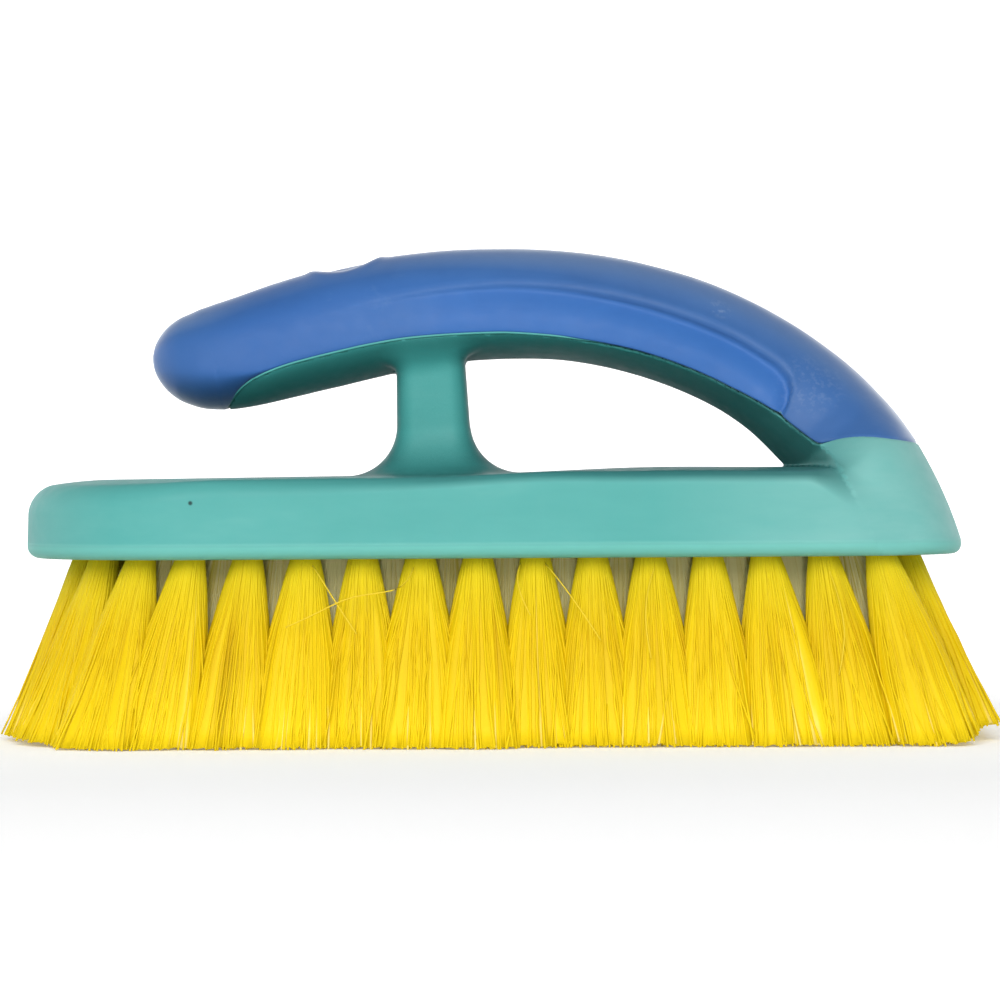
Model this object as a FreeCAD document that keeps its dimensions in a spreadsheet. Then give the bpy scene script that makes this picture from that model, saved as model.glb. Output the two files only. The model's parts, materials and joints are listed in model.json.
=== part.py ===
"""Hand scrub brush with an arched handle, as a parametric document in millimetres.

Frame: +X from the round nose to the heel, +Y across the block, +Z up. The brush
stands on its bristle tips at Z = 0, and the origin is under the middle of the brush.

How the real thing is made, and so how it is split here:
  * one rigid moulding: the block, the post, the arched handle core and the heel;
  * one soft grip moulded over the top, the sides and the nose of the handle core;
  * tufts of filament, each folded in half over a flat wire anchor and driven into a
    blind hole in the underside of the block, in seven lines of tufts;
  * one anchor at the bottom of every hole, its two ends bitten into the hole's wall.
"""
import FreeCAD
import Part
import Sketcher
import math
import os

from FreeCAD import Placement, Rotation, Vector

doc = FreeCAD.newDocument("ScrubBrush")

# ---------------------------------------------------------------- dimensions
sheet = doc.addObject("Spreadsheet::Sheet", "Dimensions")
sheet.Label = "Dimensions"
values = {}
_row = [1]


def dim(alias, value, note=""):
    r = _row[0]
    sheet.set("A%d" % r, note or alias.replace("_", " "))
    sheet.set("B%d" % r, repr(round(float(value), 4)))
    sheet.setAlias("B%d" % r, alias)
    values[alias] = round(float(value), 4)
    _row[0] += 1


dim("trim_height", 32.0, "free length of the bristles below the block")
dim("block_width", 60.0, "width of the block")
dim("nose_reach", 83.5, "nose of the block, ahead of the origin")
dim("heel_reach", 80.0, "heel of the block, behind the origin")
dim("heel_corner", 16.0, "plan radius of the heel corners")
dim("block_front", 14.2, "thickness of the block at the nose")
dim("block_rear", 16.0, "thickness of the block at the heel")
dim("heel_lean", 4.8, "how far the heel leans in over the block's height")
dim("top_round", 4.4, "radius round the top edge of the block")
dim("base_round", 1.8, "radius round the bottom edge of the block")
dim("post_length", 13.2, "post, along the brush")
dim("post_width", 19.0, "post, across the brush")
dim("post_centre", -11.4, "middle of the post")
dim("post_corner", 4.0, "radius of the post's upright corners")
dim("post_flare", 6.5, "flare where the post meets the block")
dim("post_top", 72.0, "height to which the post runs up into the handle core")
dim("grip_wall", 2.6, "thickness of the soft grip")
dim("hole_diameter", 5.0, "tuft hole")
dim("hole_depth", 10.0, "tuft hole, depth along its axis")
dim("tuft_diameter", 4.9, "tuft where it sits in its hole")
dim("tuft_tip_diameter", 9.3, "tuft at its trimmed tips")
dim("anchor_length", 5.8, "anchor wire, along the brush")
dim("anchor_thickness", 0.5, "anchor wire, across the brush")
dim("anchor_height", 2.2, "anchor wire, along the hole")
dim("anchor_floor", 1.2, "fold of the filaments between anchor and hole bottom")
dim("dish_length", 13.0, "thumb dish on the grip")
dim("dish_width", 17.0, "thumb dish on the grip")
dim("dish_depth", 0.7, "thumb dish on the grip")

# Stations of the arched handle, nose to heel: middle of the section (x, z), the slope
# of the handle there in degrees (positive is falling towards the heel), half its
# thickness and half its width.
STATIONS = [
    # x, z, slope, half thickness, half width
    (-60.55, 67.25, 2.0, 2.6, 3.4),
    (-60.00, 67.25, 2.0, 4.0, 5.3),
    (-58.40, 67.20, 2.0, 5.9, 7.7),
    (-56.30, 67.18, 1.8, 7.55, 9.7),
    (-52.48, 67.18, -2.6, 9.04, 11.5),
    (-48.69, 67.55, -8.4, 9.66, 12.4),
    (-44.94, 68.29, -12.6, 9.88, 12.9),
    (-37.54, 70.24, -14.8, 10.21, 13.5),
    (-30.13, 72.13, -13.5, 10.39, 13.8),
    (-22.66, 73.82, -11.6, 10.32, 14.0),
    (-11.35, 75.69, -6.4, 9.95, 14.0),
    (0.11, 76.35, -0.7, 9.75, 14.0),
    (11.58, 75.97, 5.4, 9.61, 14.0),
    (22.89, 74.05, 13.7, 9.68, 14.0),
    (33.82, 70.63, 21.2, 9.75, 14.0),
    (44.18, 65.67, 30.4, 9.79, 14.0),
    (50.50, 61.39, 38.1, 9.96, 15.4),
    (56.20, 56.29, 45.1, 10.28, 17.8),
    (61.28, 50.58, 52.6, 10.36, 24.4),
    (65.30, 44.11, 60.0, 10.40, 27.8),
    (68.60, 37.60, 63.5, 10.40, 28.2),
]
for i, (sx, sz, sl, hb, ha) in enumerate(STATIONS):
    dim("arch_%d_x" % i, sx)
    dim("arch_%d_z" % i, sz)
    dim("arch_%d_slope" % i, sl)
    dim("arch_%d_half_thick" % i, hb)
    dim("arch_%d_half_wide" % i, ha)

doc.recompute()


def get(alias):
    return float(sheet.get(alias))


def origin_plane(body, role):
    return [f for f in body.Origin.OriginFeatures if f.Role == role][0]


# ---------------------------------------------------------------- block
block = doc.addObject("PartDesign::Body", "Block")
plan = block.newObject("Sketcher::SketchObject", "BlockPlan")
plan.AttachmentSupport = [(origin_plane(block, "XY_Plane"), "")]
plan.MapMode = "FlatFace"
plan.setExpression("AttachmentOffset.Base.z", "Dimensions.trim_height")
half = get("block_width") / 2
nose_x = -get("nose_reach") + half
heel_x = get("heel_reach")
rc = get("heel_corner")
Z = Vector(0, 0, 1)
g_nose = plan.addGeometry(
    Part.ArcOfCircle(Part.Circle(Vector(nose_x, 0, 0), Z, half), math.pi / 2, 3 * math.pi / 2))
g_front = plan.addGeometry(Part.LineSegment(Vector(nose_x, -half, 0), Vector(heel_x - rc, -half, 0)))
g_c1 = plan.addGeometry(
    Part.ArcOfCircle(Part.Circle(Vector(heel_x - rc, -half + rc, 0), Z, rc), -math.pi / 2, 0))
g_heel = plan.addGeometry(Part.LineSegment(Vector(heel_x, -half + rc, 0), Vector(heel_x, half - rc, 0)))
g_c2 = plan.addGeometry(
    Part.ArcOfCircle(Part.Circle(Vector(heel_x - rc, half - rc, 0), Z, rc), 0, math.pi / 2))
g_back = plan.addGeometry(Part.LineSegment(Vector(heel_x - rc, half, 0), Vector(nose_x, half, 0)))
C = Sketcher.Constraint
plan.addConstraint([
    C("Tangent", g_nose, 2, g_front, 1),
    C("Tangent", g_front, 2, g_c1, 1),
    C("Tangent", g_c1, 2, g_heel, 1),
    C("Tangent", g_heel, 2, g_c2, 1),
    C("Tangent", g_c2, 2, g_back, 1),
    C("Tangent", g_back, 2, g_nose, 1),
    C("Horizontal", g_front),
    C("PointOnObject", g_nose, 3, -1),
    C("Equal", g_c1, g_c2),
    C("Vertical", g_heel),
])
k = plan.addConstraint(C("Radius", g_nose, half))
plan.renameConstraint(k, "nose_radius")
plan.setExpression("Constraints.nose_radius", "Dimensions.block_width / 2")
k = plan.addConstraint(C("Radius", g_c1, rc))
plan.renameConstraint(k, "corner_radius")
plan.setExpression("Constraints.corner_radius", "Dimensions.heel_corner")
k = plan.addConstraint(C("DistanceX", g_nose, 3, -1, 1, -nose_x))
plan.renameConstraint(k, "nose_centre")
plan.setExpression("Constraints.nose_centre", "Dimensions.nose_reach - Dimensions.block_width / 2")
k = plan.addConstraint(C("DistanceX", -1, 1, g_heel, 1, heel_x))
plan.renameConstraint(k, "heel_line")
plan.setExpression("Constraints.heel_line", "Dimensions.heel_reach")
pad = block.newObject("PartDesign::Pad", "BlockPad")
pad.Profile = plan
pad.setExpression("Length", "Dimensions.block_rear + 2")
doc.recompute()
# ---- the sloping top and the leaning heel, cut from the side
side = block.newObject("Sketcher::SketchObject", "BlockSide")
side.AttachmentSupport = [(origin_plane(block, "XZ_Plane"), "")]
side.MapMode = "FlatFace"
zb = get("trim_height")
zf = zb + get("block_front")
zr = zb + get("block_rear")
far = 100.0
roof = zb + get("block_rear") + 8
lean = get("heel_lean")
pts = [(-far, zf), (heel_x - lean, zr), (heel_x, zb + 2.0), (far, zb + 2.0), (far, roof), (-far, roof)]
lines = []
for i in range(len(pts)):
    a, b = pts[i], pts[(i + 1) % len(pts)]
    lines.append(side.addGeometry(Part.LineSegment(Vector(a[0], a[1], 0), Vector(b[0], b[1], 0))))
for i in range(len(lines)):
    side.addConstraint(C("Coincident", lines[i], 2, lines[(i + 1) % len(lines)], 1))


def side_dim(name, con, expr):
    n = side.addConstraint(con)
    side.renameConstraint(n, name)
    side.setExpression("Constraints." + name, expr)


side_dim("front_level", C("DistanceY", -1, 1, lines[0], 1, zf), "Dimensions.trim_height + Dimensions.block_front")
side_dim("rear_level", C("DistanceY", -1, 1, lines[0], 2, zr), "Dimensions.trim_height + Dimensions.block_rear")
side_dim("rear_edge", C("DistanceX", -1, 1, lines[0], 2, heel_x - lean), "Dimensions.heel_reach - Dimensions.heel_lean")
side_dim("heel_edge", C("DistanceX", -1, 1, lines[1], 2, heel_x), "Dimensions.heel_reach")
side_dim("heel_level", C("DistanceY", -1, 1, lines[1], 2, zb + 2.0), "Dimensions.trim_height + 2")
trim = block.newObject("PartDesign::Pocket", "BlockTrim")
trim.Profile = side
trim.Type = "ThroughAll"
trim.SideType = "Symmetric"
doc.recompute()


def pick(shape, test):
    return ["Edge%d" % (i + 1) for i, e in enumerate(shape.Edges) if test(e)]


def top_edge(e):
    zs = [e.valueAt(t).z for t in (e.FirstParameter, (e.FirstParameter + e.LastParameter) / 2, e.LastParameter)]
    return min(zs) > zb + get("block_front") - 1.0


def base_edge(e):
    b = e.BoundBox
    return b.ZMax < zb + 0.01


top_round = block.newObject("PartDesign::Fillet", "TopRound")
top_round.Base = (trim, pick(trim.Shape, top_edge))
top_round.setExpression("Radius", "Dimensions.top_round")
doc.recompute()
base_round = block.newObject("PartDesign::Fillet", "BaseRound")
base_round.Base = (top_round, pick(top_round.Shape, base_edge))
base_round.setExpression("Radius", "Dimensions.base_round")
block.Tip = base_round
doc.recompute()

# ---------------------------------------------------------------- post
post_box = doc.addObject("Part::Box", "PostBlank")
post_box.setExpression("Length", "Dimensions.post_length")
post_box.setExpression("Width", "Dimensions.post_width")
post_box.setExpression("Height", "Dimensions.post_top - Dimensions.trim_height - 6")
post_box.setExpression("Placement.Base.x", "Dimensions.post_centre - Dimensions.post_length / 2")
post_box.setExpression("Placement.Base.y", "-Dimensions.post_width / 2")
post_box.setExpression("Placement.Base.z", "Dimensions.trim_height + 6")
doc.recompute()
post = doc.addObject("Part::Fillet", "Post")
post.Base = post_box
post.Edges = [(i + 1, get("post_corner"), get("post_corner"))
              for i, e in enumerate(post_box.Shape.Edges)
              if abs(e.valueAt(e.FirstParameter).z - e.valueAt(e.LastParameter).z) > 5]
doc.recompute()
stump = doc.addObject("Part::Fuse", "BlockAndPost")
stump.Base = block
stump.Tool = post
doc.recompute()


def foot_edge(e):
    b = e.BoundBox
    cx, hx, hy = get("post_centre"), get("post_length") / 2, get("post_width") / 2
    return (b.XMin > cx - hx - 0.1 and b.XMax < cx + hx + 0.1 and b.YMin > -hy - 0.1 and b.YMax < hy + 0.1
            and b.ZMin > zb + get("block_front") - 0.5 and b.ZMax < zr + 0.5)


footed = doc.addObject("Part::Fillet", "FlaredPost")
footed.Base = stump
footed.Edges = [(i + 1, get("post_flare"), get("post_flare"))
                for i, e in enumerate(stump.Shape.Edges) if foot_edge(e)]
doc.recompute()

# ---------------------------------------------------------------- arched handle
def section(name, i, inset):
    """An oval section of the handle at station i, square to the handle's line."""
    a, b = get("arch_%d_half_wide" % i), get("arch_%d_half_thick" % i)
    e = doc.addObject("Part::Ellipse", name)
    wide = "Dimensions.arch_%d_half_wide" % i
    thick = "Dimensions.arch_%d_half_thick" % i
    if inset:
        wide += " - Dimensions.grip_wall"
        thick += " - Dimensions.grip_wall"
    e.setExpression("MajorRadius", wide)
    e.setExpression("MinorRadius", thick)
    slope = math.radians(get("arch_%d_slope" % i))
    along = Vector(math.cos(slope), 0, -math.sin(slope))
    up = Vector(math.sin(slope), 0, math.cos(slope))
    across = Vector(0, 1, 0)
    e.Placement = Placement(Vector(0, 0, 0), Rotation(across, up, along, "ZXY"))
    e.setExpression("Placement.Base.x", "Dimensions.arch_%d_x" % i)
    e.setExpression("Placement.Base.z", "Dimensions.arch_%d_z" % i)
    return e


tip = doc.addObject("Part::Vertex", "NoseTip")
tip.X, tip.Y, tip.Z = -61.2, 0.0, 67.25
outer = doc.addObject("Part::Loft", "HandleOutside")
outer.Sections = [tip] + [section("OuterSection%d" % i, i, False) for i in range(len(STATIONS))]
outer.Solid = True
outer.Ruled = False
outer.MaxDegree = 5
core = doc.addObject("Part::Loft", "HandleCore")
core.Sections = [section("CoreSection%d" % i, i, True) for i in range(3, len(STATIONS))]
core.Solid = True
core.Ruled = False
core.MaxDegree = 5
doc.recompute()
print("outer", outer.State, outer.Shape.isValid(), outer.Shape.Volume, outer.Shape.BoundBox)
print("core", core.State, core.Shape.isValid(), core.Shape.Volume, core.Shape.BoundBox)
print("footed", footed.State, footed.Shape.isValid(), footed.Shape.Volume, footed.Shape.BoundBox)
print("block", block.Shape.isValid(), block.Shape.Volume, block.Shape.BoundBox)
for o in doc.Objects:
    if any(s in ("Invalid", "Error") for s in o.State):
        print("STATE", o.Name, o.State)

# ---------------------------------------------------------------- where the grip ends
# Seen from the side, the grip covers everything above this line: round the nose, along
# the middle of the handle's side, and down to the heel, where it stops at a level edge.
SEAM = [(-70.0, 57.0), (-60.0, 57.3), (-52.2, 59.7), (-47.8, 61.6), (-43.4, 63.7), (-38.9, 65.8), (-34.5, 67.2),
        (-30.1, 68.4), (-21.2, 70.3), (-12.4, 71.3), (0.9, 72.0), (9.7, 71.2), (18.6, 69.7),
        (27.4, 67.5), (36.3, 64.1), (40.7, 61.8), (45.1, 59.6), (49.6, 57.3), (54.0, 53.4), (56.6, 51.9)]
seam = doc.addObject("Sketcher::SketchObject", "GripSeam")
seam.Placement = Placement(Vector(0, 0, 0), Rotation(Vector(1, 0, 0), 90))
curve = Part.BSplineCurve()
curve.interpolate([Vector(x, z, 0) for x, z in SEAM])
first, last = SEAM[0], SEAM[-1]
rest = [last, (62.9, 52.7), (76.0, 52.0), (92.0, 52.0), (92.0, 100.0), (-70.0, 100.0), first]
seam.addGeometry(curve)
for a, b in zip(rest[:-1], rest[1:]):
    seam.addGeometry(Part.LineSegment(Vector(a[0], a[1], 0), Vector(b[0], b[1], 0)))
for n in range(1, len(rest)):
    seam.addConstraint(C("Coincident", n - 1, 2, n, 1))
seam.addConstraint(C("Coincident", len(rest) - 1, 2, 0, 1))
above = doc.addObject("Part::Extrusion", "AboveSeam")
above.Base = seam
above.DirMode = "Custom"
above.Dir = Vector(0, 1, 0)
above.setExpression("LengthFwd", "Dimensions.block_width * 2")
above.Symmetric = True
above.Solid = True
doc.recompute()

# ---------------------------------------------------------------- grip
dish = doc.addObject("Part::Ellipsoid", "ThumbDish")
dish.setExpression("Radius1", "Dimensions.dish_depth * 4")
dish.setExpression("Radius2", "Dimensions.dish_length / 2 * 1.51")
dish.setExpression("Radius3", "Dimensions.dish_width / 2 * 1.51")
dish.Placement = Placement(Vector(-26.4, 0, 85.75), Rotation(Vector(0, 1, 0), -13.0))
grip_blank = doc.addObject("Part::Common", "GripBlank")
grip_blank.Base = outer
grip_blank.Tool = above
grip_shell = doc.addObject("Part::Cut", "GripShell")
grip_shell.Base = grip_blank
grip_shell.Tool = core
grip = doc.addObject("Part::Cut", "Grip")
grip.Base = grip_shell
grip.Tool = dish
grip.Label = "grip"
doc.recompute()
print("grip", grip.Shape.isValid(), len(grip.Shape.Solids), [round(s.Volume) for s in grip.Shape.Solids])

# ---------------------------------------------------------------- rigid moulding, before its holes
belly = doc.addObject("Part::Cut", "HandleBelly")
belly.Base = outer
belly.Tool = above
blank = doc.addObject("Part::MultiFuse", "MouldingBlank")
blank.Shapes = [footed, belly, core]
doc.recompute()
print("belly", belly.Shape.isValid(), len(belly.Shape.Solids), "blank", blank.Shape.isValid(), len(blank.Shape.Solids), blank.Shape.Volume)

# ---------------------------------------------------------------- tufts
# Every line of tufts: root on the underside of the block (x, y) and how far the tuft
# leans out from it, in degrees, along the brush and across it.
def lean_x(x):
    """Tufts near the two ends lean further out along the brush."""
    if x < -45:
        return -6.0 - 10.0 * min(1.0, (-45 - x) / 27.0)
    if x < -20:
        return -6.0 * (-20 - x) / 25.0
    if x > 45:
        return 5.0 + 12.0 * min(1.0, (x - 45) / 27.0)
    if x > 20:
        return 5.0 * (x - 20) / 25.0
    return 0.0


PITCH = 9.85
LINES = {
    "front_edge": [(-53.1 + PITCH * n, -22.0, lean_x(-53.1 + PITCH * n), -11.0) for n in range(13)],
    "back_edge": [(-53.1 + PITCH * n, 22.0, lean_x(-53.1 + PITCH * n), 11.0) for n in range(13)],
    "nose_arc": [(-61.7, -19.8, -11.0, -12.0), (-68.6, -13.7, -14.5, -8.0), (-72.4, -4.9, -16.0, -2.6),
                 (-72.4, 4.9, -16.0, 2.6), (-68.6, 13.7, -14.5, 8.0), (-61.7, 19.8, -11.0, 12.0)],
    "heel_edge": [(70.2, -13.3, 17.0, -7.0), (71.0, -4.4, 17.5, -2.0), (71.0, 4.4, 17.5, 2.0), (70.2, 13.3, 17.0, 7.0)],
    "front_inner": [(-58.0 + PITCH * n, -11.0, lean_x(-58.0 + PITCH * n) * 0.9, -5.0) for n in range(13)],
    "back_inner": [(-58.0 + PITCH * n, 11.0, lean_x(-58.0 + PITCH * n) * 0.9, 5.0) for n in range(13)],
    "centre_row": [(-63.0 + 10.5 * n, 0.0, lean_x(-63.0 + 10.5 * n) * 0.9, 0.0) for n in range(13)],
}


def tuft_frame(x, y, ax, ay):
    """Placement whose Z axis runs from the tips up into the block, X staying along the brush."""
    down = Vector(math.tan(math.radians(ax)), math.tan(math.radians(ay)), -1.0).normalize()
    up = down * -1
    across = up.cross(Vector(1, 0, 0)).normalize()
    along = across.cross(up)
    return Rotation(along, across, up, "ZXY"), up


ground = doc.addObject("Part::Box", "BelowGround")
ground.Length, ground.Width, ground.Height = 300, 200, 30
ground.Placement.Base = Vector(-150, -100, -30)
sub_parts = {}
holes = []
anchors = {}
for line, roots in LINES.items():
    wires, tufts = [], []
    for n, (x, y, ax, ay) in enumerate(roots):
        rot, up = tuft_frame(x, y, ax, ay)
        root = Vector(x, y, get("trim_height"))
        hole = doc.addObject("Part::Cylinder", "Hole_%s_%d" % (line, n))
        hole.setExpression("Radius", "Dimensions.hole_diameter / 2")
        hole.setExpression("Height", "Dimensions.hole_depth + 3")
        hole.Placement = Placement(root - up * 3.0, rot)
        holes.append(hole)
        wire = doc.addObject("Part::Box", "Wire_%s_%d" % (line, n))
        wire.setExpression("Length", "Dimensions.anchor_length")
        wire.setExpression("Width", "Dimensions.anchor_thickness")
        wire.setExpression("Height", "Dimensions.anchor_height")
        lift = get("hole_depth") - get("anchor_floor") - get("anchor_height")
        corner = rot.multVec(Vector(-get("anchor_length") / 2, -get("anchor_thickness") / 2, lift))
        wire.Placement = Placement(root + corner, rot)
        wires.append(wire)
        stem = doc.addObject("Part::Cylinder", "Stem_%s_%d" % (line, n))
        stem.setExpression("Radius", "Dimensions.tuft_diameter / 2")
        stem.setExpression("Height", "Dimensions.hole_depth")
        stem.Placement = Placement(root, rot)
        fan = doc.addObject("Part::Cone", "Fan_%s_%d" % (line, n))
        # the fan runs a little past the ground and is trimmed level with it
        fan.setExpression("Radius2", "Dimensions.tuft_diameter / 2")
        fan.setExpression("Radius1", "Dimensions.tuft_tip_diameter / 2 * 1.06")
        fan.setExpression("Height", "Dimensions.trim_height * 1.12")
        fan.Placement = Placement(root - up * (get("trim_height") * 1.12), rot)
        tuft = doc.addObject("Part::Fuse", "Tuft_%s_%d" % (line, n))
        tuft.Base = stem
        tuft.Tool = fan
        tufts.append(tuft)
    group = doc.addObject("Part::Compound", "Anchors_" + line)
    group.Links = wires
    group.Label = line + "_anchors"
    anchors[line] = group
    sub_parts[group.Label] = group
    bunch = doc.addObject("Part::Compound", "Bunch_" + line)
    bunch.Links = tufts
    level = doc.addObject("Part::Cut", "Level_" + line)
    level.Base = bunch
    level.Tool = ground
    slit = doc.addObject("Part::Cut", "Tufts_" + line)
    slit.Base = level
    slit.Tool = group
    slit.Label = line + "_tufts"
    sub_parts[slit.Label] = slit
doc.recompute()

drilled = doc.addObject("Part::Compound", "AllHoles")
drilled.Links = holes
bitten = doc.addObject("Part::Compound", "AllAnchors")
bitten.Links = list(anchors.values())
bored = doc.addObject("Part::Cut", "BoredMoulding")
bored.Base = blank
bored.Tool = drilled
moulding = doc.addObject("Part::Cut", "Moulding")
moulding.Base = bored
moulding.Tool = bitten
moulding.Label = "block_handle"
doc.recompute()
sub_parts["block_handle"] = moulding
sub_parts["grip"] = grip

# ---------------------------------------------------------------- checks and files
for o in doc.Objects:
    bad = [s for s in o.State if s in ("Invalid", "Error")]
    if bad:
        raise RuntimeError("%s is %s" % (o.Label, bad))
os.makedirs("parts", exist_ok=True)
for node, o in sub_parts.items():
    s = o.Shape
    if s.isNull() or not s.isValid():
        raise RuntimeError("%s has no valid shape" % node)
    s.exportStep("parts/%s.step" % node)
    bb = s.optimalBoundingBox() if hasattr(s, "optimalBoundingBox") else s.BoundBox
    print(node, len(s.Solids), round(s.Volume), bb)
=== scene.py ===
import json
import math

import bpy
import numpy as np
from mathutils import Matrix, Vector

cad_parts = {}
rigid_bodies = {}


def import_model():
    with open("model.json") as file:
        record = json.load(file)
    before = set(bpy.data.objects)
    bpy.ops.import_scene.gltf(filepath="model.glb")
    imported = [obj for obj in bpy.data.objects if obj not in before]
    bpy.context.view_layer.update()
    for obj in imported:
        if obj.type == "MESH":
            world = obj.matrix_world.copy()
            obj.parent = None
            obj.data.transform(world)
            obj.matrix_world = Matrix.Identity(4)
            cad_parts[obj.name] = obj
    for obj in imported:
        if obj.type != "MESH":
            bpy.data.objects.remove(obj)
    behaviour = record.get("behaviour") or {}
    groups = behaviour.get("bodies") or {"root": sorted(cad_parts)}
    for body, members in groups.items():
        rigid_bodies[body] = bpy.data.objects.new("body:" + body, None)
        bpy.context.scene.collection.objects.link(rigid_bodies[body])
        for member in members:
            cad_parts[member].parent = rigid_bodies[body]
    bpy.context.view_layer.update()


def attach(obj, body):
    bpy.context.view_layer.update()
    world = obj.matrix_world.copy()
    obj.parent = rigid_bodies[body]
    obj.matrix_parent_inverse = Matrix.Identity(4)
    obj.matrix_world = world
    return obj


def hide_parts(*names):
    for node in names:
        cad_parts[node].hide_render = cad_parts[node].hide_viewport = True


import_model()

# Everything below is worked out in millimetres in the CAD frame and scaled once,
# when a mesh is made. +X nose to heel, +Y across, +Z up, bristle tips on Z = 0.
MM = 0.001
rng = np.random.default_rng(7)


# ------------------------------------------------------------------ small maths
def smooth(lo, hi, x):
    t = np.clip((x - lo) / (hi - lo), 0.0, 1.0)
    return t * t * (3 - 2 * t)


def natural_spline(t, y):
    """Natural cubic spline through (t, y); returns a function of (x, derivative)."""
    t, y = np.asarray(t, float), np.asarray(y, float)
    n, h = len(t), np.diff(t)
    A, r = np.eye(n), np.zeros_like(y)
    for i in range(1, n - 1):
        A[i, i - 1], A[i, i], A[i, i + 1] = h[i - 1], 2 * (h[i - 1] + h[i]), h[i]
        r[i] = 6 * ((y[i + 1] - y[i]) / h[i] - (y[i] - y[i - 1]) / h[i - 1])
    M = np.linalg.solve(A, r)

    def at(x, d=0):
        x = np.asarray(x, float)
        i = np.clip(np.searchsorted(t, x) - 1, 0, n - 2)
        hi = h[i]
        a, b = (t[i + 1] - x) / hi, (x - t[i]) / hi
        if y.ndim > 1:
            hi, a, b = hi[..., None], a[..., None], b[..., None]
        if d == 0:
            return a * y[i] + b * y[i + 1] + ((a ** 3 - a) * M[i] + (b ** 3 - b) * M[i + 1]) * hi ** 2 / 6
        return (y[i + 1] - y[i]) / hi + ((1 - 3 * a * a) * M[i] + (3 * b * b - 1) * M[i + 1]) * hi / 6

    return at


def lattice_noise(p, seed):
    """Smooth value noise in 3-D, about -1 to 1, one unit per lattice step."""
    p = np.asarray(p, float)
    i = np.floor(p).astype(np.int64)
    f = p - i
    f = f * f * f * (f * (f * 6 - 15) + 10)
    out = np.zeros(len(p))
    for dx in (0, 1):
        for dy in (0, 1):
            for dz in (0, 1):
                n = (i[:, 0] + dx) * 73856093 ^ (i[:, 1] + dy) * 19349663 ^ (i[:, 2] + dz) * 83492791 ^ seed * 2654435761
                n = (n ^ (n >> 13)) * 1274126177 & 0x7FFFFFFF
                n = (n ^ (n >> 16)) & 0xFFFF
                w = (f[:, 0] if dx else 1 - f[:, 0]) * (f[:, 1] if dy else 1 - f[:, 1]) * (f[:, 2] if dz else 1 - f[:, 2])
                out += w * (n / 32767.5 - 1)
    return out


# ------------------------------------------------------------------ the arched handle
# Middle line of the handle (x, z), and half its thickness and width along it.
LINE = [(-61.2, 67.05), (-56.30, 66.97), (-52.48, 66.97), (-48.69, 67.34), (-44.94, 68.13), (-37.54, 70.20),
        (-30.13, 72.13), (-22.66, 73.82), (-11.35, 75.69), (0.11, 76.35), (11.58, 75.97), (22.89, 74.05),
        (33.82, 70.63), (44.18, 65.67), (50.50, 61.39), (56.20, 56.29), (61.28, 50.58), (65.30, 44.11),
        (68.40, 37.60), (70.60, 31.40), (72.2, 25.5)]
P0 = np.array(LINE)
T0 = np.r_[0, np.cumsum(np.hypot(*np.diff(P0, axis=0).T))]
line = natural_spline(T0, P0)
S_FINE = np.arange(0, T0[-1], 0.1)
C_FINE = line(S_FINE)
D_FINE = line(S_FINE, 1)
_sp = np.linalg.norm(D_FINE, axis=1)
D_FINE /= _sp[:, None]
N_FINE = np.stack([-D_FINE[:, 1], D_FINE[:, 0]], 1)  # outward, up over the arch
S_FINE = np.r_[0, np.cumsum(np.hypot(*np.diff(C_FINE, axis=0).T))]
S_END = S_FINE[-1]


def along(table, soft=1.2):
    """Turns (x on the middle line, value) pairs into a smooth value along the handle."""
    x, y = np.array(table, float).T
    v = np.interp(C_FINE[:, 0], x, y)
    r = int(3 * soft / 0.1)
    k = np.exp(-0.5 * (np.arange(-r, r + 1) * 0.1 / soft) ** 2)
    v = np.convolve(np.pad(v, r, mode="edge"), k / k.sum(), mode="valid")
    return v


B2 = along([(-61.2, 0), (-60.6, 7.6), (-60.0, 15.2), (-58.4, 33.8), (-56.3, 53.6), (-52.48, 77.4), (-48.69, 88.9),
            (-44.94, 94.6), (-37.54, 103.2), (-30.13, 107.9), (-22.66, 106.5), (-11.35, 99.0), (0.11, 95.1),
            (11.58, 92.4), (22.89, 93.7), (33.82, 95.1), (44.18, 95.8), (50.5, 99.2), (56.2, 105.7),
            (61.28, 107.3), (72, 108.2)], 0.45)
A2 = along([(-61.2, 0), (-60.6, 13.0), (-60.0, 26.5), (-58.4, 58.0), (-56.3, 93.0), (-52.48, 131.0), (-48.69, 153.0),
            (-44.94, 166.0), (-37.54, 182.0), (-30.13, 190.0), (-22.66, 196.0), (-11.35, 196.0), (33.8, 196.0),
            (40.0, 196.5), (46.0, 212.0), (50.5, 240.0), (56.2, 305.0), (59.0, 400.0), (60.3, 520.0), (61.4, 640.0),
            (62.5, 735.0), (64.0, 785.0), (66.0, 797.0), (68.4, 795.0), (72.2, 795.0)], 0.6)
# both fall to nothing at the very tip of the nose
B_OF = np.sqrt(np.maximum(B2 * smooth(-0.2, 0.5, S_FINE + 0.0) + 1e-6, 13.0 * np.minimum(S_FINE, 0.35)))
A_OF = np.sqrt(np.maximum(A2 * smooth(-0.2, 0.5, S_FINE + 0.0) + 1e-6, 22.0 * np.minimum(S_FINE, 0.35)))
# the level of the grip's edge on the handle's side, as a share of the half thickness
EDGE = along([(-61.2, -1.06), (-49.6, -1.06), (-48.2, -0.84), (-46.8, -0.62), (-45.2, -0.49), (-41.6, -0.396),
              (-38.5, -0.36), (-32.4, -0.356), (-24.7, -0.36), (-17.5, -0.385), (-12.9, -0.421), (-8.3, -0.444),
              (-3.7, -0.455), (0.8, -0.460), (5.4, -0.488), (10.1, -0.510), (14.9, -0.530), (19.6, -0.530),
              (24.3, -0.522), (29.0, -0.52), (38.4, -0.515), (43.2, -0.505), (47.7, -0.455), (51.9, -0.378),
              (56.5, -0.39), (58.9, -0.385), (61.3, -0.42), (63.5, -0.46), (66, -0.50), (72, -0.50)], 0.9)
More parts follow.
